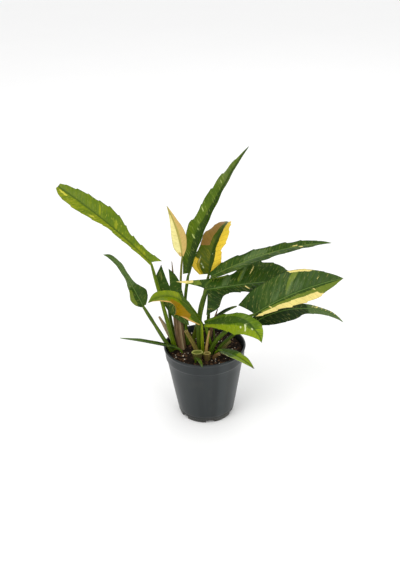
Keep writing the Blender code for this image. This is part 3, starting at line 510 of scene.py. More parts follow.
def leaf_pattern():
    """The group that colours a blade: patches broken up along the veins, specks, a painted sheen as
    highlight, painted shade in the groove beside the midrib, midrib and underside.
    """
    name = "leaf_pattern"
    if name in bpy.data.node_groups:
        return bpy.data.node_groups[name]
    colours = [(part, "Color") for part in ("Base", "Deep", "Lime", "Pale", "Flush", "Sheen", "Rib")]
    amounts = [(part, "Float") for part in ("Speckle", "Streak", "Vein Spacing", "Seed", "Roughness")]
    group, given, out = new_group(name, colours + amounts,
                                  [("Color", "Color"), ("Roughness", "Float"), ("Height", "Float")])
    along, reach, across = parts_of(group, attribute(group, "leaf_place"))
    tint = node(group, "Attribute", attribute_name="tint")
    lime, pale, deep = node(group, "SeparateColor", {0: tint.outputs["Color"]}).outputs[:3]
    flush = tint.outputs["Alpha"]
    sheen = attribute(group, "sheen", "Fac")
    under = attribute(group, "under", "Fac")
    side = maths(group, "MULTIPLY_ADD", maths(group, "SIGN", across), 41.0, given["Seed"])
    lateral = maths(group, "MULTIPLY_ADD", reach, -VEIN_LEAN, along)
    streak_place = vector_of(group, maths(group, "MULTIPLY", lateral, 0.3),
                             maths(group, "MULTIPLY", reach, 0.05), side)
    streak = noise_value(group, streak_place, 1.0, 4.0, 0.65)
    fleck_place = vector_of(group, maths(group, "MULTIPLY", lateral, 0.62),
                            maths(group, "MULTIPLY", reach, 0.17), side)
    flecks = smooth_step(group, noise_value(group, fleck_place, 1.0, 2.0, 0.5), 0.6, 0.68)
    even = vector_of(group, along, reach, side)
    blotch = noise_value(group, even, 0.055, 2.0)
    fine = noise_value(group, even, 0.55, 3.0, 0.6)
    ragged = maths(group, "MULTIPLY", maths(group, "SUBTRACT", streak, 0.5), given["Streak"])
    ragged = maths(group, "MULTIPLY_ADD", maths(group, "SUBTRACT", fine, 0.5), 0.14, ragged)

    def patch(mask, low=0.42, high=0.58):
        return smooth_step(group, maths(group, "ADD", mask, ragged), low, high)

    colour = mixed(group, maths(group, "MULTIPLY", smooth_step(group, blotch, 0.4, 0.7), 0.4),
                   given["Base"], given["Deep"])
    colour = mixed(group, maths(group, "MULTIPLY", smooth_step(group, streak, 0.52, 0.72), 0.35),
                   colour, given["Lime"])
    colour = mixed(group, maths(group, "MULTIPLY", patch(deep, 0.3, 0.7), 0.9), colour, given["Deep"])
    colour = mixed(group, maths(group, "MULTIPLY", patch(lime, 0.35, 0.65), 0.85), colour, given["Lime"])
    # Painted highlight: a pale grey-green sheen laid on where the glossy blade would shine.
    colour = mixed(group, maths(group, "MULTIPLY", patch(sheen, 0.34, 0.74), 0.8), colour, given["Sheen"])
    colour = mixed(group, patch(flush, 0.34, 0.66), colour, given["Flush"])
    colour = mixed(group, patch(pale), colour, given["Pale"])
    colour = mixed(group, maths(group, "MULTIPLY", flecks, given["Speckle"]), colour,
                   mixed(group, 0.4, given["Lime"], given["Pale"]))
    cycle = maths(group, "DIVIDE", lateral, given["Vein Spacing"])
    off_vein = maths(group, "PINGPONG", cycle, 0.5)
    line = maths(group, "SUBTRACT", 1.0, smooth_step(group, off_vein, 0.0, 0.1))
    line = maths(group, "MULTIPLY", line, smooth_step(group, reach, 0.8, 3.0))
    colour = mixed(group, maths(group, "MULTIPLY", line, 0.22), colour, given["Rib"])
    rib = maths(group, "SUBTRACT", 1.0, smooth_step(group, reach, 0.35, 1.0))
    # Painted shade: darker green in the groove beside the midrib, where shade falls in the fold.
    groove_shade = maths(group, "MULTIPLY", smooth_step(group, reach, 0.6, 1.1),
                   maths(group, "SUBTRACT", 1.0, smooth_step(group, reach, 1.2, 2.2)))
    colour = mixed(group, maths(group, "MULTIPLY", groove_shade, 0.35), colour, given["Deep"])
    colour = mixed(group, maths(group, "MULTIPLY", rib, 0.85), colour, given["Rib"])
    rim = smooth_step(group, maths(group, "ABSOLUTE", across), 0.955, 1.0)
    colour = mixed(group, maths(group, "MULTIPLY", rim, 0.4), colour, given["Deep"])
    mottle = node(group, "HueSaturation", {
        "Value": maths(group, "MULTIPLY_ADD", maths(group, "SUBTRACT", fine, 0.5), 0.35, 1.0),
        "Hue": maths(group, "MULTIPLY_ADD", maths(group, "SUBTRACT", blotch, 0.5), 0.03, 0.5),
        "Color": colour}).outputs[0]
    backed = node(group, "HueSaturation", {"Saturation": 0.75, "Value": 1.25, "Color": mottle}).outputs[0]
    group.links.new(mixed(group, maths(group, "MULTIPLY", under, 0.7), mottle, backed), out["Color"])
    rough = maths(group, "MULTIPLY_ADD", maths(group, "SUBTRACT", fine, 0.5), 0.25, given["Roughness"])
    rough = maths(group, "MULTIPLY_ADD", under, 0.18, rough)
    group.links.new(maths(group, "MULTIPLY_ADD", pale, 0.08, rough), out["Roughness"])
    height = maths(group, "MULTIPLY_ADD", line, -0.5, maths(group, "MULTIPLY", fine, 0.35))
    pores = noise_value(group, even, 2.2, 2.0)
    group.links.new(maths(group, "MULTIPLY_ADD", pores, 0.12, height), out["Height"])
    return group


def stalk_pattern():
    """The group that colours a petiole, sheath or stub: streaks, a darker foot and paler cut rims."""
    name = "stalk_pattern"
    if name in bpy.data.node_groups:
        return bpy.data.node_groups[name]
    inputs = [(part, "Color") for part in ("Body", "Streak", "Rim")]
    inputs += [(part, "Float") for part in ("Seed", "Fibre", "Roughness")]
    group, given, out = new_group(name, inputs,
                                  [("Color", "Color"), ("Roughness", "Float"), ("Height", "Float")])
    along, turn, share = parts_of(group, attribute(group, "stalk_place"))
    edge = attribute(group, "edge", "Fac")
    core = attribute(group, "core", "Fac")
    angle = maths(group, "MULTIPLY", turn, 2 * math.pi)
    round_x = maths(group, "MULTIPLY", maths(group, "COSINE", angle), 1.6)
    round_y = maths(group, "MULTIPLY", maths(group, "SINE", angle), 1.6)
    place = vector_of(group, maths(group, "ADD", round_x, given["Seed"]), round_y,
                      maths(group, "MULTIPLY", along, 0.02))
    streak = noise_value(group, place, 1.5, 4.0, 0.65)
    close = vector_of(group, maths(group, "ADD", round_x, given["Seed"]), round_y,
                      maths(group, "MULTIPLY", along, 0.25))
    mottle = noise_value(group, close, 1.0, 3.0, 0.6)
    colour = mixed(group, smooth_step(group, streak, 0.42, 0.66), given["Body"], given["Streak"])
    pale_streak = maths(group, "MULTIPLY", smooth_step(group, streak, 0.4, 0.25), 0.5)
    colour = mixed(group, pale_streak, colour, given["Rim"])
    foot = maths(group, "SUBTRACT", 1.0, smooth_step(group, share, 0.02, 0.2))
    colour = mixed(group, maths(group, "MULTIPLY", foot, 0.5), colour, given["Streak"])
    colour = mixed(group, maths(group, "MULTIPLY", edge, 0.9), colour, given["Rim"])
    colour = mixed(group, maths(group, "MULTIPLY", core, 0.75), colour, given["Streak"])
    value = maths(group, "MULTIPLY_ADD", maths(group, "SUBTRACT", mottle, 0.5), 0.7, 1.0)
    colour = node(group, "HueSaturation", {"Value": value, "Color": colour}).outputs[0]
    group.links.new(colour, out["Color"])
    rough = maths(group, "MULTIPLY_ADD", maths(group, "SUBTRACT", mottle, 0.5), 0.3, given["Roughness"])
    group.links.new(rough, out["Roughness"])
    ribs = noise_value(group, place, 6.0, 2.0)
    height = maths(group, "MULTIPLY", ribs, given["Fibre"])
    group.links.new(maths(group, "MULTIPLY_ADD", mottle, 0.3, height), out["Height"])
    return group


def fresh_material(name):
    """A material with only a Principled BSDF and an output; returns it, its tree and the shader."""
    made = bpy.data.materials.new(name)
    made.use_nodes = True
    return made, made.node_tree, made.node_tree.nodes["Principled BSDF"]


def bumped(tree, shader, height, distance, strength=1.0):
    """Feeds a height through a Bump node to the shader's normal."""
    bump = node(tree, "Bump", {"Height": height, "Distance": distance, "Strength": strength})
    tree.links.new(bump.outputs["Normal"], shader.inputs["Normal"])


def place_group(tree, group, values):
    """Places a node group with its own values."""
    placed = tree.nodes.new("ShaderNodeGroup")
    placed.node_tree = group
    for key, value in values.items():
        placed.inputs[key].default_value = value
    return placed.outputs


def leaf_material(leaf, seed, roughness):
    """One leaf's own variegated material."""
    made, tree, shader = fresh_material(leaf.name + "_skin")
    row = PALETTES[leaf.style]
    values = {key: (*display(colour), 1.0)
              for key, colour in zip(("Base", "Deep", "Lime", "Pale", "Flush", "Sheen", "Rib"), row)}
    values.update({"Speckle": row[7], "Streak": row[8], "Vein Spacing": leaf.veins[0], "Seed": seed,
                   "Roughness": roughness})
    found = place_group(tree, leaf_pattern(), values)
    tree.links.new(found["Color"], shader.inputs["Base Color"])
    tree.links.new(found["Roughness"], shader.inputs["Roughness"])
    bumped(tree, shader, found["Height"], 0.0005, 0.6)
    shader.inputs["Specular IOR Level"].default_value = 0.16
    return made


def stalk_material(name, colours, seed, fibre, roughness):
    """A material for one petiole, sheath or stub."""
    made, tree, shader = fresh_material(name)
    values = {key: (*display(colour), 1.0) for key, colour in zip(("Body", "Streak", "Rim"), colours)}
    values.update({"Seed": seed, "Fibre": fibre, "Roughness": roughness})
    found = place_group(tree, stalk_pattern(), values)
    tree.links.new(found["Color"], shader.inputs["Base Color"])
    tree.links.new(found["Roughness"], shader.inputs["Roughness"])
    bumped(tree, shader, found["Height"], 0.0006, 0.7)
    shader.inputs["Specular IOR Level"].default_value = 0.16
    return made


def pot_material(settings):
    """Slate grey plastic with faint streaks from moulding, paler bands painted on as highlights, scuffs and a
    dusting of dirt near the foot.
    """
    made, tree, shader = fresh_material("nursery_pot_plastic")
    place = node(tree, "NewGeometry").outputs["Position"]
    x, y, z = parts_of(tree, place)
    turn = maths(tree, "ARCTAN2", y, x)
    spin = vector_of(tree, maths(tree, "MULTIPLY", maths(tree, "COSINE", turn), 2.2),
                     maths(tree, "MULTIPLY", maths(tree, "SINE", turn), 2.2), maths(tree, "MULTIPLY", z, 3.0))
    streaks = noise_value(tree, spin, 1.6, 3.0, 0.55)
    cloud = noise_value(tree, place, 26.0, 3.0)
    grain = noise_value(tree, place, 900.0, 2.0)
    scuff_place = vector_of(tree, maths(tree, "MULTIPLY", turn, 9.0), maths(tree, "MULTIPLY", z, 240.0), 1.0)
    scuffs = smooth_step(tree, noise_value(tree, scuff_place, 1.0, 5.0, 0.7), 0.66, 0.76)
    base = (*settings.colour, 1.0)
    # light is the paler plastic, used both for the random moulding streaks and for the painted highlight
    # bands.
    light = (*(min(1.0, part * 1.75 + 0.004) for part in settings.colour), 1.0)
    dust = (*display((112, 104, 92)), 1.0)
    colour = mixed(tree, maths(tree, "MULTIPLY", smooth_step(tree, streaks, 0.42, 0.7), 0.25), base, light)
    # Painted highlight: paler bands of plastic laid up the pot where light would shine on its sides.
    for angle, width, strength in PAINTED_HIGHLIGHT_BANDS:
        toward_highlight = maths(tree, "COSINE", maths(tree, "SUBTRACT", turn, math.radians(angle)))
        band = smooth_step(tree, toward_highlight, math.cos(math.radians(width)), 1.0)
        colour = mixed(tree, maths(tree, "MULTIPLY", band, strength), colour, light)
    colour = mixed(tree, maths(tree, "MULTIPLY", smooth_step(tree, cloud, 0.55, 0.8), 0.05), colour, dust)
    colour = mixed(tree, maths(tree, "MULTIPLY", scuffs, 0.08), colour, dust)
    low = maths(tree, "SUBTRACT", 1.0, smooth_step(tree, z, 0.0, 0.016))
    colour = mixed(tree, maths(tree, "MULTIPLY", maths(tree, "MULTIPLY", low, cloud), 0.35), colour, dust)
    tree.links.new(colour, shader.inputs["Base Color"])
    rough = maths(tree, "MULTIPLY_ADD", cloud, 0.16, 0.3)
    rough = maths(tree, "MULTIPLY_ADD", scuffs, 0.15, rough)
    tree.links.new(rough, shader.inputs["Roughness"])
    height = maths(tree, "MULTIPLY_ADD", grain, 0.25, maths(tree, "MULTIPLY", scuffs, -0.5))
    bumped(tree, shader, height, 0.00012, 0.8)
    shader.inputs["Specular IOR Level"].default_value = 0.3
    return made


def soil_material(settings):
    """Damp peat and bark: dark, crumbly, with lighter fibres."""
    made, tree, shader = fresh_material("potting_soil_mix")
    place = node(tree, "NewGeometry").outputs["Position"]
    lumps = noise_value(tree, place, 160.0, 4.0, 0.7)
    crumbs = noise_value(tree, place, 620.0, 3.0, 0.7)
    fibre_place = node(tree, "Mapping", {"Vector": place, "Rotation": (0.3, 0.2, 0.7),
                                         "Scale": (900.0, 130.0, 400.0)}).outputs[0]
    fibres = smooth_step(tree, noise_value(tree, fibre_place, 1.0, 3.0), 0.62, 0.72)
    dark = (*(part * 0.35 for part in settings.colour), 1.0)
    warm = (*display((96, 70, 48)), 1.0)
    colour = mixed(tree, smooth_step(tree, lumps, 0.35, 0.65), dark, (*settings.colour, 1.0))
    colour = mixed(tree, maths(tree, "MULTIPLY", smooth_step(tree, crumbs, 0.55, 0.75), 0.5), colour, warm)
    colour = mixed(tree, maths(tree, "MULTIPLY", fibres, 0.45), colour, warm)
    tree.links.new(colour, shader.inputs["Base Color"])
    tree.links.new(maths(tree, "MULTIPLY_ADD", lumps, -0.25, 0.95), shader.inputs["Roughness"])
    bumped(tree, shader, maths(tree, "MULTIPLY_ADD", crumbs, 0.6, lumps), 0.0012, 1.0)
    shader.inputs["Specular IOR Level"].default_value = 0.1
    return made


def crumb_material(name, colour, second, scale, roughness):
    """Bark or perlite: two tones and a rough surface."""
    made, tree, shader = fresh_material(name)
    place = node(tree, "NewGeometry").outputs["Position"]
    broad = noise_value(tree, place, scale * 0.25, 3.0)
    grain = noise_value(tree, place, scale, 4.0, 0.7)
    share = smooth_step(tree, maths(tree, "MULTIPLY_ADD", grain, 0.5, maths(tree, "MULTIPLY", broad, 0.6)),
                        0.42, 0.66)
    tree.links.new(mixed(tree, share, (*colour, 1.0), (*second, 1.0)), shader.inputs["Base Color"])
    tree.links.new(maths(tree, "MULTIPLY_ADD", grain, 0.2, roughness - 0.1), shader.inputs["Roughness"])
    bumped(tree, shader, grain, 0.0004, 1.0)
    shader.inputs["Specular IOR Level"].default_value = 0.15
    return made


# Lines and surfaces.

def smooth_value(knots, at):
    """Reads a smooth curve through (position, value) knots; values are floats or Vectors."""
    last = len(knots) - 1
    index = 0
    while index < last - 1 and at > knots[index + 1][0]:
        index += 1
    before, start, end, after = (knots[min(max(index + step, 0), last)] for step in (-1, 0, 1, 2))
    span = end[0] - start[0]
    part = (at - start[0]) / span
    leave = (end[1] - before[1]) * (span / max(end[0] - before[0], 1e-9))
    arrive = (after[1] - start[1]) * (span / max(after[0] - start[0], 1e-9))
    square, cube = part * part, part ** 3
    return (start[1] * (2 * cube - 3 * square + 1) + leave * (cube - 2 * square + part)
            + end[1] * (3 * square - 2 * cube) + arrive * (cube - square))


def half_width(leaf, side, span):
    """Half width of a blade at a span, with its margin's teeth: each grows to a point and falls back."""
    width = smooth_value([(row[0], float(row[1 + side])) for row in leaf.outline], span)
    place = span * leaf.teeth[0] + 0.4 * side
    size = 0.35 + 0.65 * abs(math.sin(7.3 * math.floor(place) + 2.0 * side))
    tooth = leaf.teeth[1 + side] * size * ((place % 1.0) ** 2 - 0.4)
    window = min(1.0, 8.0 * span, 6.0 * (1.0 - span))
    return max(width + tooth * window * min(1.0, width / 8.0), TIP_HALF)


def line_knots(points):
    """Knots for a line through points, spaced by the distance between them."""
    vectors = [Vector(point) for point in points]
    total = sum((b - a).length for a, b in zip(vectors, vectors[1:]))
    knots = [(0.0, vectors[0])]
    for before, after in zip(vectors, vectors[1:]):
        knots.append((knots[-1][0] + (after - before).length / total, after))
    return knots


def line_length(points):
    """Length of the straight runs between points."""
    return sum((Vector(b) - Vector(a)).length for a, b in zip(points, points[1:]))


def rising_line(foot, top, lean, bow=(0, 0), short=0.0):
    """Points of a stalk that climbs evenly from the soil while it leans over, and ends short of its top."""
    until = 1.0 - short / math.dist((*foot, SOIL_LEVEL), top)
    points = []
    for index in range(LINE_STEPS + 1):
        at = until * index / LINE_STEPS
        drift, bulge = at ** lean, math.sin(math.pi * at)
        points.append(Vector((foot[0] + (top[0] - foot[0]) * drift + bow[0] * bulge,
                              foot[1] + (top[1] - foot[1]) * drift + bow[1] * bulge,
                              SOIL_LEVEL + (top[2] - SOIL_LEVEL) * at)))
    return points


def midrib_line(leaf):
    """Points of the midrib, which leaves the petiole at the leaf's heading and rise and bends to its tip."""
    points = [Vector(leaf.joint)]
    for index in range(LINE_STEPS):
        bent = ((index + 0.5) / LINE_STEPS) ** leaf.late
        rise = math.radians(leaf.rise - leaf.sag * bent)
        heading = math.radians(leaf.heading + leaf.turn * bent)
        level = math.cos(rise)
        ahead = Vector((level * math.cos(heading), level * math.sin(heading), math.sin(rise)))
        points.append(points[-1] + ahead * leaf.length / LINE_STEPS)
    return points


def blade_frame(leaf, span):
    """Midrib point and the blade's ahead, right and up directions at a span."""
    knots = line_knots(midrib_line(leaf))
    point = smooth_value(knots, span)
    before, after = smooth_value(knots, max(span - 0.01, 0.0)), smooth_value(knots, min(span + 0.01, 1.0))
    ahead = (after - before).normalized()
    face = Vector(leaf.face[0]).lerp(Vector(leaf.face[1]), span)
    right = ahead.cross(face).normalized()
    return point, ahead, right, right.cross(ahead)


def blade_rows(leaf, row_step):
    """How many rows a blade's mesh has, and its columns' across values."""
    length = leaf.length
    rows = max(24, int(length / row_step))
    widest = max(max(row[1:]) for row in leaf.outline)
    half_columns = max(5, int(widest / (1.1 * row_step)))
    steps = np.linspace(-1.0, 1.0, 2 * half_columns + 1)
    return rows, np.sign(steps) * np.abs(steps) ** 1.15


def blade_surface(leaf, seed, row_step):
    """The upper skin of a blade: points, and the along, reach and across values of each."""
    rows, columns = blade_rows(leaf, row_step)
    length = leaf.length
    points = np.zeros((rows, len(columns), 3))
    places = np.zeros((rows, len(columns), 3))
    for row, span in enumerate(np.linspace(0.0, 1.0, rows) ** 1.35):
        point, ahead, right, up = blade_frame(leaf, float(span))
        halves = [half_width(leaf, side, float(span)) for side in (0, 1)]
        along = span * length
        taper = min(1.0, 3.0 * span, 4.0 * (1.0 - span) + 0.2)
        for column, across in enumerate(columns):
            side = 0 if across < 0 else 1
            share = abs(across)
            reach = halves[side] * across
            angle = math.radians(leaf.fold[side])
            back = leaf.ears[side] * max(0.0, 1.0 - span / leaf.ears[2]) ** 1.5 * share ** 1.3
            ripple = leaf.wave[0] * math.sin(2 * math.pi * along / leaf.wave[1] + 2.1 * side + seed)
            lift = ripple * share ** 2 * taper * min(1.0, halves[side] / 8.0)
            lateral = (along - VEIN_LEAN * abs(reach)) / leaf.veins[0]
            window = min(1.0, share * 5.0) * (1.0 - share ** 6)
            lift -= leaf.veins[1] * math.cos(2 * math.pi * lateral) * window * taper
            lift += 0.5 * noise.noise(Vector((along * 0.05, reach * 0.06, seed))) * min(1.0, share * 3.0)
            lift -= 0.35 * math.exp(-(reach / 0.9) ** 2)
            lift -= 0.04 * halves[side] * share ** 2
            points[row, column] = (point + right * reach * math.cos(angle) - ahead * back
                                   + up * (abs(reach) * math.sin(angle) + lift))
            places[row, column] = (along, abs(reach), across)
    return points, places


def skin_normals(points):
    """Unit normals of a grid of points."""
    ahead = np.gradient(points, axis=0)
    right = np.gradient(points, axis=1)
    normals = np.cross(right, ahead)
    return normals / np.maximum(np.linalg.norm(normals, axis=2, keepdims=True), 1e-9)


def soft_rise(values, low, high):
    """0 below low, 1 above high and a smooth rise between."""
    part = np.clip((values - low) / (high - low), 0.0, 1.0)
    return part * part * (3.0 - 2.0 * part)


def mark_value(mark, span, across, lean):
    """How strongly one mark colours each point of a blade; spots lean forward with the veins."""
    shape, rest = mark[1], mark[2:]
    if shape == "spot":
        middle, middle_across, half, half_across, strength = rest
        ahead = span - middle - lean * (np.abs(across) - abs(middle_across))
        far = np.sqrt((ahead / half) ** 2 + ((across - middle_across) / half_across) ** 2)
        return strength * (1.0 - soft_rise(far, 0.3, 1.6))
    if shape == "zone":
        low, high, strength = rest
        begun, ended = soft_rise(span, low - 0.1, low + 0.02), soft_rise(span, high - 0.02, high + 0.1)
        return strength * begun * (1.0 - ended)
    side, edge, strength = rest
    limits = np.interp(span, [place for place, _ in edge], [value for _, value in edge])
    low, high = edge[0][0], edge[-1][0]
    inside = soft_rise(span, low - 0.03, low) * (1.0 - soft_rise(span, high, high + 0.03))
    over = side * across - limits
    if shape == "strip":
        over = np.where(side * across >= -0.02, -over, -1.0)
    return strength * inside * soft_rise(over, -0.1, 0.1)


def painted(leaf, places):
    """The tint and the painted sheen, a painted highlight, of each point of a blade, from the leaf's marks.
    """
    length = leaf.length
    span = places[:, :, 0] / length
    lean = VEIN_LEAN * places[:, :, 1] / np.maximum(np.abs(places[:, :, 2]), 0.01) / length
    masks = {kind: np.zeros(span.shape) for kind in ("lime", "pale", "deep", "flush", "sheen")}
    for mark in leaf.marks:
        masks[mark[0]] = np.maximum(masks[mark[0]], mark_value(mark, span, places[:, :, 2], lean))
    tint = np.stack([masks[kind] for kind in ("lime", "pale", "deep", "flush")], axis=2)
    return np.clip(tint, 0.0, 1.0), np.clip(masks["sheen"], 0.0, 1.0)


def write_attribute(mesh, name, kind, values):
    """Stores one value for each vertex."""
    made = mesh.attributes.new(name, kind, "POINT")
    key = {"FLOAT": "value", "FLOAT_VECTOR": "vector", "FLOAT_COLOR": "color"}[kind]
    made.data.foreach_set(key, np.asarray(values, dtype=np.float32).ravel())


def finished(name, mesh, made, node_name):
    """Links a mesh as a piece that rides on the plant and stands for a node."""
    mesh.materials.clear()
    mesh.materials.append(made)
    mesh.polygons.foreach_set("use_smooth", [True] * len(mesh.polygons))
    piece = bpy.data.objects.new(name, mesh)
    bpy.context.scene.collection.objects.link(piece)
    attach(piece, "root")
    if node_name:
        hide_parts(node_name)
    return piece


def make_blade(leaf, seed, settings):
    """A blade as one closed skin: upper side, underside with the midrib standing out, and a thin margin."""
    points, places = blade_surface(leaf, seed, settings.row_step / MM)
    rows, columns = points.shape[:2]
    normals = skin_normals(points)
    reach, share = places[:, :, 1], np.abs(places[:, :, 2])
    span = places[:, :, 0] / leaf.length
    keel_width = np.maximum(0.8 + leaf.thick[1] * (1.0 - span) ** 0.7 * 0.8, 0.3)
    keel = settings.keel / MM * (1.0 - span) ** 0.6 * np.exp(-(reach / keel_width) ** 2)
    thickness = settings.thickness / MM * np.sqrt(np.clip(1.0 - share ** 6, 0.0, 1.0)) + keel
    lower = points - normals * thickness[:, :, None]
    tint, sheen = painted(leaf, places)
    inner = [(r, c) for r in range(1, rows - 1) for c in range(1, columns - 1)]
    under_index = {place: rows * columns + index for index, place in enumerate(inner)}
    corners = [tuple(corner) for corner in (points.reshape(-1, 3) * MM)]
    corners += [tuple(lower[place] * MM) for place in inner]
    faces = []
    for r in range(rows - 1):
        for c in range(columns - 1):
            square = ((r, c), (r, c + 1), (r + 1, c + 1), (r + 1, c))
            faces.append([a * columns + b for a, b in square])
            faces.append([under_index.get(place, place[0] * columns + place[1])
                          for place in reversed(square)])
    mesh = bpy.data.meshes.new(leaf.name + "_blade_skin")
    mesh.from_pydata(corners, [], faces)

    def doubled(values):
        below = np.array([values[place] for place in inner]).reshape(len(inner), -1)
        return np.concatenate([values.reshape(rows * columns, -1), below])

    write_attribute(mesh, "leaf_place", "FLOAT_VECTOR", doubled(places))
    write_attribute(mesh, "tint", "FLOAT_COLOR", doubled(tint))
    # The painted sheen: a painted highlight that the shader lays on as a pale grey-green wash.
    write_attribute(mesh, "sheen", "FLOAT", doubled(sheen[:, :, None]))
    write_attribute(mesh, "under", "FLOAT", [0.0] * (rows * columns) + [1.0] * len(inner))
    made = leaf_material(leaf, seed, settings.roughness)
    return finished(leaf.name + "_blade_skin", mesh, made, leaf.name + "_blade")


def tube(name, points, radii, flat, sides, rings, shape=None, end="point"):
    """A closed tube along a smooth line; shape(turn, share) scales its radius and a cut end is sunk."""
    knots = line_knots(points)
    length = line_length(points)
    widths = [(index / (len(radii) - 1), float(radius)) for index, radius in enumerate(radii)]
    corners, stalk_place, edge, core = [], [], [], []

    def ring(share, scale, sink, is_edge, is_core):
        centre = smooth_value(knots, share)
        before = smooth_value(knots, max(share - 0.01, 0.0))
        after = smooth_value(knots, min(share + 0.01, 1.0))
        ahead = (after - before).normalized()
        side = ahead.cross(Vector((0.0, 1.0, 0.0))).normalized()
        front = side.cross(ahead)
        radius = smooth_value(widths, share) * scale
        for index in range(sides):
            turn = index / sides
            angle = 2 * math.pi * turn
            grow = shape(angle, share) if shape else 1.0
            outward = side * math.cos(angle) + front * math.sin(angle) * flat
            corner = centre - ahead * sink + outward * radius * grow
            corners.append(tuple(corner * MM))
            stalk_place.append((share * length, turn, share))
            edge.append(is_edge)
            core.append(is_core)

    for index in range(rings):
        ring(index / (rings - 1), 1.0, 0.0, 0.0, 0.0)
    if end == "cut":
        ring(1.0, 0.97, -0.25, 1.0, 0.0)
        ring(1.0, 0.84, -0.3, 1.0, 0.0)
        ring(1.0, 0.7, 0.5, 0.3, 0.6)
        ring(1.0, 0.4, 0.7, 0.0, 1.0)
    total = len(corners) // sides
    faces = [list(reversed(range(sides))), list(range((total - 1) * sides, total * sides))]
    for r in range(total - 1):
        for index in range(sides):
            following = (index + 1) % sides
            faces.append([r * sides + index, r * sides + following,
                          (r + 1) * sides + following, (r + 1) * sides + index])
    mesh = bpy.data.meshes.new(name)
    mesh.from_pydata(corners, [], faces)
    write_attribute(mesh, "stalk_place", "FLOAT_VECTOR", stalk_place)
    write_attribute(mesh, "edge", "FLOAT", edge)
    write_attribute(mesh, "core", "FLOAT", core)
    return mesh


def sunk(line):
    """A stalk's points with its foot pushed down into the soil."""
    foot, following = Vector(line[0]), Vector(line[1])
    ahead = (following - foot).normalized()
    return [tuple(foot - ahead * SINK)] + [tuple(point) for point in line[1:]]


def petiole_colours(leaf):
    """Body, streak and rim colours of a petiole, from its leaf's palette."""
    row = PALETTES[leaf.style]
    if leaf.style == "dark":
        return (blend_colours(row[0], row[2], 0.6), blend_colours(row[1], row[0], 0.7), row[2])
    if leaf.style == "cream":
        return ((120, 122, 50), (86, 92, 30), (170, 160, 90))
    return (blend_colours(row[0], row[2], 0.15), row[1] if leaf.style != "yellow" else (62, 78, 14), row[2])


def make_petiole(leaf, seed):
    """A petiole: channelled along its upper side, swollen at its foot and where it meets the blade."""
    joint, ahead, _, up = blade_frame(leaf, 0.0)
    reach_in = min(7.0, 0.2 * leaf.length)
    top = joint + ahead * reach_in
    line = sunk(rising_line(leaf.foot, leaf.joint, leaf.lean, leaf.bow, PETIOLE_SHORT))
    line += [tuple(joint - up * leaf.thick[1] * 0.55), tuple(top - up * leaf.thick[1] * 0.7)]
    foot, head = leaf.thick
    radii = (foot * 1.25, foot, foot * 0.92, (foot + head) / 2, head, head * 1.08, head * 0.95, head * 0.5)

    def channel(angle, share):
        off = math.atan2(math.sin(angle - 4.2), math.cos(angle - 4.2))
        return 1.0 - 0.2 * math.exp(-(off / 0.42) ** 2) + 0.02 * math.sin(9 * angle + 3 * seed)

    rings = max(20, int(line_length(line) / 2.5))
    mesh = tube(leaf.name + "_petiole_skin", line, radii, 1.0, 28, rings, channel)
    made = stalk_material(leaf.name + "_petiole_skin", petiole_colours(leaf), seed, 0.5, 0.42)
    return finished(mesh.name, mesh, made, leaf.name + "_petiole")


def make_stub(stub, seed):
    """A dry sheath with an open edge, a spike, or a cut stub with a pale rim."""
    line = sunk(rising_line(stub.foot, stub.top, stub.lean))
    seam = math.radians(stub.seam) if stub.seam is not None else None

    def wrapped(angle, share):
        grow = 1.0 + 0.02 * math.sin(5 * angle + 4 * share + seed)
        if seam is not None:
            grow += 0.03 * math.sin(9 * angle + 3 * share) + 0.015 * math.sin(19 * angle + seed)
        grow += 0.05 * noise.noise(Vector((math.cos(angle) * 1.5, math.sin(angle) * 1.5, share * 6 + seed)))
        if seam is not None:
            off = (angle - seam) % (2 * math.pi)
            grow *= 1.0 + 0.16 * math.exp(-off / 0.5) - 0.14 * math.exp(-(2 * math.pi - off) / 0.3)
        return grow

    mesh = tube(stub.name + "_skin", line, stub.radii, stub.flat, 48, max(16, int(line_length(line) / 2.0)),
                wrapped, stub.end)
    if seam is not None:
        places = np.zeros(len(mesh.vertices) * 3, dtype=np.float32)
        mesh.attributes["stalk_place"].data.foreach_get("vector", places)
        off = (places.reshape(-1, 3)[:, 1] * 2 * math.pi - seam) % (2 * math.pi)
        mesh.attributes["edge"].data.foreach_set("value", np.exp(-off / 0.16).astype(np.float32))
    made = stalk_material(stub.name + "_skin", stub.colours, seed, 1.0, 0.62)
    return finished(mesh.name, mesh, made, stub.name)


# The pot and the soil.

def wall_radius(settings, height):
    """Outer radius of the tapered wall below the collar, in metres."""
    top = settings.height - settings.collar
    top_radius = settings.radius - 0.0037
    return settings.base_radius + (top_radius - settings.base_radius) * (height / top) ** 0.97


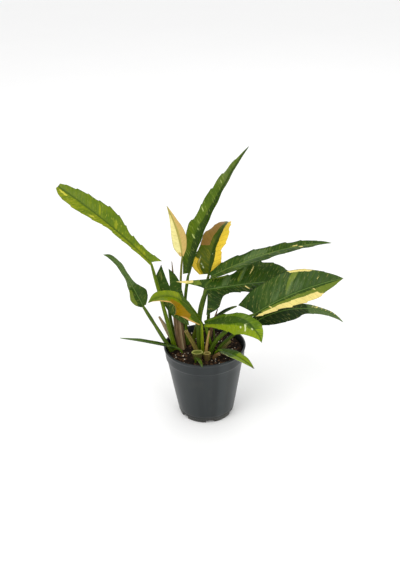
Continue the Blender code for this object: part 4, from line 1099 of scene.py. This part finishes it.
def pot_section(settings):
    """The pot's section from the rim down the outside, under the floor and up the inside, in metres."""
    radius, height, base, wall = settings.radius, settings.height, settings.base_radius, settings.wall
    foot = height - settings.collar
    side = wall_radius(settings, foot)
    outside = [(radius - 0.0014, height), (radius - 0.0006, height - 0.0002),
               (radius - 0.0001, height - 0.0008), (radius, height - 0.0014),
               (radius - 0.0002, height - 0.0024), (radius - 0.0009, height - 0.0031),
               (radius - 0.0012, height - 0.0036), (radius - 0.0014, height - 0.006),
               (side + 0.0017, foot + 0.004), (side + 0.0015, foot + 0.0012), (side + 0.0012, foot + 0.0004),
               (side + 0.0004, foot - 0.0002), (side + 0.0001, foot - 0.001)]
    outside += [(wall_radius(settings, level), level) for level in (0.085, 0.07, 0.055, 0.04, 0.025, 0.0125)]
    outside += [(wall_radius(settings, 0.0105) - 0.0001, 0.0105),
                (wall_radius(settings, 0.0098) - 0.0004, 0.0098),
                (wall_radius(settings, 0.0091) - 0.0001, 0.0091), (wall_radius(settings, 0.0064), 0.0064),
                (base + 0.0002, 0.0055), (base, 0.003), (base - 0.0003, 0.0012), (base - 0.0008, 0.0004),
                (base - 0.0016, 0.0)]
    floor = [(0.03, 0.0), (0.012, 0.0), (0.0, 0.0), (0.0, 0.0022), (base - wall - 0.002, 0.0022)]
    inside = [(wall_radius(settings, level) - wall, level) for level in (0.0055, 0.04, 0.07, foot - 0.0006)]
    inside += [(radius - 0.0032, foot + 0.001), (radius - 0.0026, height - 0.0005), (radius - 0.0022, height)]
    return outside + floor + inside


def make_pot(settings):
    """The nursery pot: turned, with drain notches cut through its bottom corner and softened edges."""
    section = pot_section(settings)
    shape = bmesh.new()
    corners = [shape.verts.new((radius, 0.0, height)) for radius, height in section]
    edges = [shape.edges.new(pair) for pair in zip(corners, corners[1:] + corners[:1])]
    bmesh.ops.spin(shape, geom=corners + edges, cent=(0, 0, 0), axis=(0, 0, 1), angle=2 * math.pi,
                   steps=settings.segments, use_merge=True)
    bmesh.ops.remove_doubles(shape, verts=shape.verts, dist=0.000005)
    bmesh.ops.dissolve_degenerate(shape, edges=shape.edges, dist=0.000001)
    bmesh.ops.recalc_face_normals(shape, faces=shape.faces)
    mesh = bpy.data.meshes.new("pot_shell")
    shape.to_mesh(mesh)
    shape.free()
    cutter = bpy.data.meshes.new("drain_cutters")
    shape = bmesh.new()
    for index in range(6):
        turn = Matrix.Rotation(math.radians(-83.0 + 60.0 * index), 4, "Z")
        shift = Matrix.Translation((settings.base_radius, 0.0, 0.0))
        size = Matrix.Diagonal((0.012, 0.013, 0.010, 1.0))
        made = bmesh.ops.create_cube(shape, size=1.0, matrix=turn @ shift @ size)
        upright = [edge for vert in made["verts"] for edge in vert.link_edges]
        bmesh.ops.bevel(shape, geom=list(set(upright)), offset=0.0014, segments=3, affect="EDGES",
                        profile=0.5)
    shape.to_mesh(cutter)
    shape.free()
    piece = finished("pot_shell", mesh, pot_material(settings), "pot")
    tool = bpy.data.objects.new("drain_cutters", cutter)
    bpy.context.scene.collection.objects.link(tool)
    cut = piece.modifiers.new("drains", "BOOLEAN")
    cut.object, cut.operation, cut.solver = tool, "DIFFERENCE", "EXACT"
    bpy.context.view_layer.update()
    graph = bpy.context.evaluated_depsgraph_get()
    carved = bpy.data.meshes.new_from_object(piece.evaluated_get(graph))
    piece.modifiers.clear()
    piece.data = carved
    bpy.data.objects.remove(tool)
    carved.polygons.foreach_set("use_smooth", [True] * len(carved.polygons))
    carved.set_sharp_from_angle(angle=math.radians(38))
    return piece


def soil_level(x, y):
    """Height of the soil at a place, in millimetres, as the solid soil has it, without its crumbs."""
    mounds = math.sin(0.11 * x + 1.3) * math.cos(0.13 * y - 0.4) + 0.5 * math.sin(0.23 * x - 0.19 * y)
    return 104.5 + 1.4 * mounds / 1.5


def soil_height(x, y):
    """Height of the crumbly surface of the soil, in millimetres."""
    lumps = noise.noise(Vector((x * 0.16, y * 0.16, 2.0)))
    crumbs = noise.noise(Vector((x * 0.45, y * 0.45, 5.0)))
    grit = noise.noise(Vector((x * 1.1, y * 1.1, 9.0)))
    return soil_level(x, y) + 1.1 * lumps + 0.8 * crumbs + 0.4 * grit


def make_soil(pot, settings):
    """The soil plug with a crumbly top."""
    rings, sides = 84, 220
    top_radius = wall_radius(pot, pot.height - pot.collar) / MM - pot.wall / MM - 0.35
    corners = [(0.0, 0.0, soil_height(0.0, 0.0) * MM)]
    for r in range(1, rings + 1):
        radius = top_radius * r / rings
        for s in range(sides):
            angle = 2 * math.pi * s / sides
            x, y = radius * math.cos(angle), radius * math.sin(angle)
            corners.append((x * MM, y * MM, soil_height(x, y) * MM))
    below = [(wall_radius(pot, level) / MM - pot.wall / MM - 0.4, level / MM)
             for level in (0.09, 0.04, 0.009)]
    below += [(pot.base_radius / MM - 8.5, 6.0), (pot.base_radius / MM - 8.5, 2.5)]
    for radius, height in below:
        corners += [(radius * math.cos(2 * math.pi * s / sides) * MM,
                     radius * math.sin(2 * math.pi * s / sides) * MM, height * MM) for s in range(sides)]
    faces = [[0, 1 + s, 1 + (s + 1) % sides] for s in range(sides)]
    for r in range(rings + len(below) - 1):
        start = 1 + r * sides
        for s in range(sides):
            following = (s + 1) % sides
            faces.append([start + s, start + sides + s, start + sides + following, start + following])
    last = 1 + (rings + len(below) - 1) * sides
    faces.append([last + s for s in reversed(range(sides))])
    mesh = bpy.data.meshes.new("soil_bed")
    mesh.from_pydata(corners, [], faces)
    return finished("soil_bed", mesh, soil_material(settings), "potting_soil")


def scattered(name, count, seed, sizes, squash, settings_material, detail):
    """Many small lumps on the soil, joined as one piece."""
    draw = random.Random(seed)
    shape = bmesh.new()
    for index in range(count):
        radius = 52.0 * math.sqrt(draw.random())
        angle = draw.uniform(0, 2 * math.pi)
        x, y = radius * math.cos(angle), radius * math.sin(angle)
        size = draw.uniform(*sizes) * (0.6 + 0.4 * draw.random())
        stretch = Matrix.Diagonal((size * draw.uniform(0.8, 1.8), size, size * draw.uniform(*squash), 1.0))
        tilt = Matrix.Rotation(draw.uniform(-0.5, 0.5), 4, "X")
        tilt = tilt @ Matrix.Rotation(draw.uniform(-0.4, 0.4), 4, "Y")
        turn = Matrix.Rotation(draw.uniform(0, 2 * math.pi), 4, "Z")
        spot = Matrix.Translation((x, y, soil_height(x, y) + 0.15 * size))
        made = bmesh.ops.create_icosphere(shape, subdivisions=detail, radius=1.0)
        for vert in made["verts"]:
            bump = noise.noise(vert.co * 1.7 + Vector((index * 3.1, 0.0, 0.0)))
            vert.co = (spot @ turn @ tilt @ stretch @ (vert.co * (1.0 + 0.45 * bump))) * MM
    mesh = bpy.data.meshes.new(name)
    shape.to_mesh(mesh)
    shape.free()
    piece = finished(name, mesh, settings_material, None)
    mesh.polygons.foreach_set("use_smooth", [detail > 1] * len(mesh.polygons))
    return piece


# The stage.

def area_light(name, place, target, size, power, colour):
    """A soft light that looks at a point."""
    data = bpy.data.lights.new(name, "AREA")
    data.shape = "RECTANGLE"
    data.size, data.size_y = size
    data.energy = power
    data.color = colour
    lamp = bpy.data.objects.new(name, data)
    lamp.location = place
    lamp.rotation_euler = (Vector(target) - Vector(place)).to_track_quat("-Z", "Y").to_euler()
    bpy.context.scene.collection.objects.link(lamp)
    return lamp


def floor_material(colour):
    """A plain pale floor with the faintest mottling."""
    made, tree, shader = fresh_material("pale_floor")
    place = node(tree, "NewGeometry").outputs["Position"]
    cloud = noise_value(tree, place, 3.0, 2.0)
    darker = (*(part * 0.985 for part in colour), 1.0)
    tree.links.new(mixed(tree, cloud, (*colour, 1.0), darker), shader.inputs["Base Color"])
    shader.inputs["Roughness"].default_value = 0.9
    shader.inputs["Specular IOR Level"].default_value = 0.1
    return made


def make_camera(settings):
    """The camera, in front of the plant and above it."""
    rise = settings.elevation
    ahead = Vector((0.0, math.cos(rise), -math.sin(rise)))
    right = Vector((1.0, 0.0, 0.0))
    up = right.cross(ahead)
    turned_right = right * math.cos(settings.roll) + up * math.sin(settings.roll)
    turned_up = up * math.cos(settings.roll) - right * math.sin(settings.roll)
    target = Vector((-0.0043, 0.0, 0.2101))
    data = bpy.data.cameras.new("camera")
    data.sensor_fit = "VERTICAL"
    data.sensor_height = 36.0
    data.lens = settings.lens
    data.clip_end = 50.0
    camera = bpy.data.objects.new("camera", data)
    turn = Matrix((turned_right, turned_up, -ahead)).transposed().to_4x4()
    camera.matrix_world = Matrix.Translation(target - ahead * settings.distance) @ turn
    bpy.context.scene.collection.objects.link(camera)
    bpy.context.scene.camera = camera
    return camera


class PHILODENDRON_OT_stage(bpy.types.Operator):
    """Adds the camera, the pale floor and the soft studio light"""
    bl_idname = "philodendron.stage"
    bl_label = "Build Stage"

    def execute(self, context):
        settings = context.scene.philodendron_stage
        make_camera(settings)
        mesh = bpy.data.meshes.new("floor")
        mesh.from_pydata([(-8, -8, -0.0002), (8, -8, -0.0002), (8, 8, -0.0002), (-8, 8, -0.0002)], [],
                         [[0, 1, 2, 3]])
        mesh.materials.append(floor_material(settings.floor_colour))
        floor = bpy.data.objects.new("floor", mesh)
        context.scene.collection.objects.link(floor)
        area_light("key_light", (-0.9, -1.1, 1.9), (0, 0, 0.2), (1.1, 1.1), 15.0, (1.0, 0.985, 0.96))
        area_light("fill_light", (1.5, -1.0, 1.1), (0, 0, 0.2), (1.2, 1.2), 3.0, (0.97, 0.985, 1.0))
        area_light("back_light", (0.4, 1.6, 1.7), (0, 0, 0.25), (1.4, 0.9), 4.0, (1.0, 1.0, 1.0))
        area_light("strip_light", (0.62, -1.15, 0.45), (0, 0, 0.06), (0.1, 0.9), 3.0, (1.0, 1.0, 1.0))
        world = bpy.data.worlds.new("studio")
        world.use_nodes = True
        world.node_tree.nodes["Background"].inputs[0].default_value = (1.0, 1.0, 1.0, 1.0)
        world.node_tree.nodes["Background"].inputs[1].default_value = settings.soft_light
        context.scene.world = world
        context.scene.view_settings.view_transform = "Standard"
        context.scene.view_settings.look = "None"
        return {"FINISHED"}


class PHILODENDRON_OT_pot(bpy.types.Operator):
    """Builds the nursery pot with its collar and drain notches"""
    bl_idname = "philodendron.pot"
    bl_label = "Build Pot"

    def execute(self, context):
        make_pot(context.scene.philodendron_pot)
        return {"FINISHED"}


class PHILODENDRON_OT_soil(bpy.types.Operator):
    """Builds the soil with its bark chips and perlite grains"""
    bl_idname = "philodendron.soil"
    bl_label = "Build Soil"

    def execute(self, context):
        settings = context.scene.philodendron_soil
        make_soil(context.scene.philodendron_pot, settings)
        bark = crumb_material("bark_chips", display((58, 40, 26)), settings.chip_colour, 700.0, 0.8)
        scattered("bark_chips", settings.chips, 11, (0.6, 2.4), (0.25, 0.6), bark, 1)
        perlite = crumb_material("perlite_grains", settings.grain_colour, display((170, 160, 140)), 900.0,
                                 0.9)
        scattered("perlite_grains", settings.grains, 23, (0.5, 1.3), (0.7, 1.0), perlite, 2)
        return {"FINISHED"}


class PHILODENDRON_OT_blades(bpy.types.Operator):
    """Builds every leaf blade with its veins, margins and variegation"""
    bl_idname = "philodendron.blades"
    bl_label = "Build Blades"

    def execute(self, context):
        for index, leaf in enumerate(LEAVES):
            make_blade(leaf, 3.7 * index, context.scene.philodendron_leaf)
        return {"FINISHED"}


class PHILODENDRON_OT_petioles(bpy.types.Operator):
    """Builds the leaf stalks from the soil to the blades"""
    bl_idname = "philodendron.petioles"
    bl_label = "Build Petioles"

    def execute(self, context):
        for index, leaf in enumerate(LEAVES):
            make_petiole(leaf, 1.9 * index)
        return {"FINISHED"}


class PHILODENDRON_OT_stubs(bpy.types.Operator):
    """Builds the dry sheaths, spikes and cut stubs"""
    bl_idname = "philodendron.stubs"
    bl_label = "Build Stubs"

    def execute(self, context):
        for index, stub in enumerate(STUBS):
            make_stub(stub, 2.3 * index)
        return {"FINISHED"}


class PHILODENDRON_PT_panel(bpy.types.Panel):
    """Lists the plant's sizes, colours and build steps"""
    bl_idname = "PHILODENDRON_PT_panel"
    bl_label = "Potted Philodendron"
    bl_space_type = "VIEW_3D"
    bl_region_type = "UI"
    bl_category = "Philodendron"

    def draw(self, context):
        layout = self.layout
        for title, operators, group in STEPS:
            box = layout.box()
            box.label(text=title)
            settings = getattr(context.scene, group)
            for key in settings.bl_rna.properties.keys():
                if key not in ("rna_type", "name"):
                    box.prop(settings, key)
            for name in operators:
                box.operator("philodendron." + name)


STEPS = (
    ("Stage", ("stage",), "philodendron_stage"),
    ("Pot", ("pot",), "philodendron_pot"),
    ("Soil", ("soil",), "philodendron_soil"),
    ("Leaves", ("blades", "petioles", "stubs"), "philodendron_leaf"),
)
SETTINGS = {"philodendron_stage": StageSettings, "philodendron_pot": PotSettings,
            "philodendron_soil": SoilSettings, "philodendron_leaf": LeafSettings}
CLASSES = (StageSettings, PotSettings, SoilSettings, LeafSettings, PHILODENDRON_OT_stage,
           PHILODENDRON_OT_pot, PHILODENDRON_OT_soil, PHILODENDRON_OT_blades, PHILODENDRON_OT_petioles,
           PHILODENDRON_OT_stubs, PHILODENDRON_PT_panel)


def register():
    for made in CLASSES:
        bpy.utils.register_class(made)
    for name, kind in SETTINGS.items():
        setattr(bpy.types.Scene, name, PointerProperty(type=kind))


def unregister():
    for name in SETTINGS:
        delattr(bpy.types.Scene, name)
    for made in reversed(CLASSES):
        bpy.utils.unregister_class(made)


def main():
    """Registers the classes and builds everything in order."""
    register()
    for _, operators, _ in STEPS:
        for name in operators:
            getattr(bpy.ops.philodendron, name)()


if __name__ == "__main__":
    main()
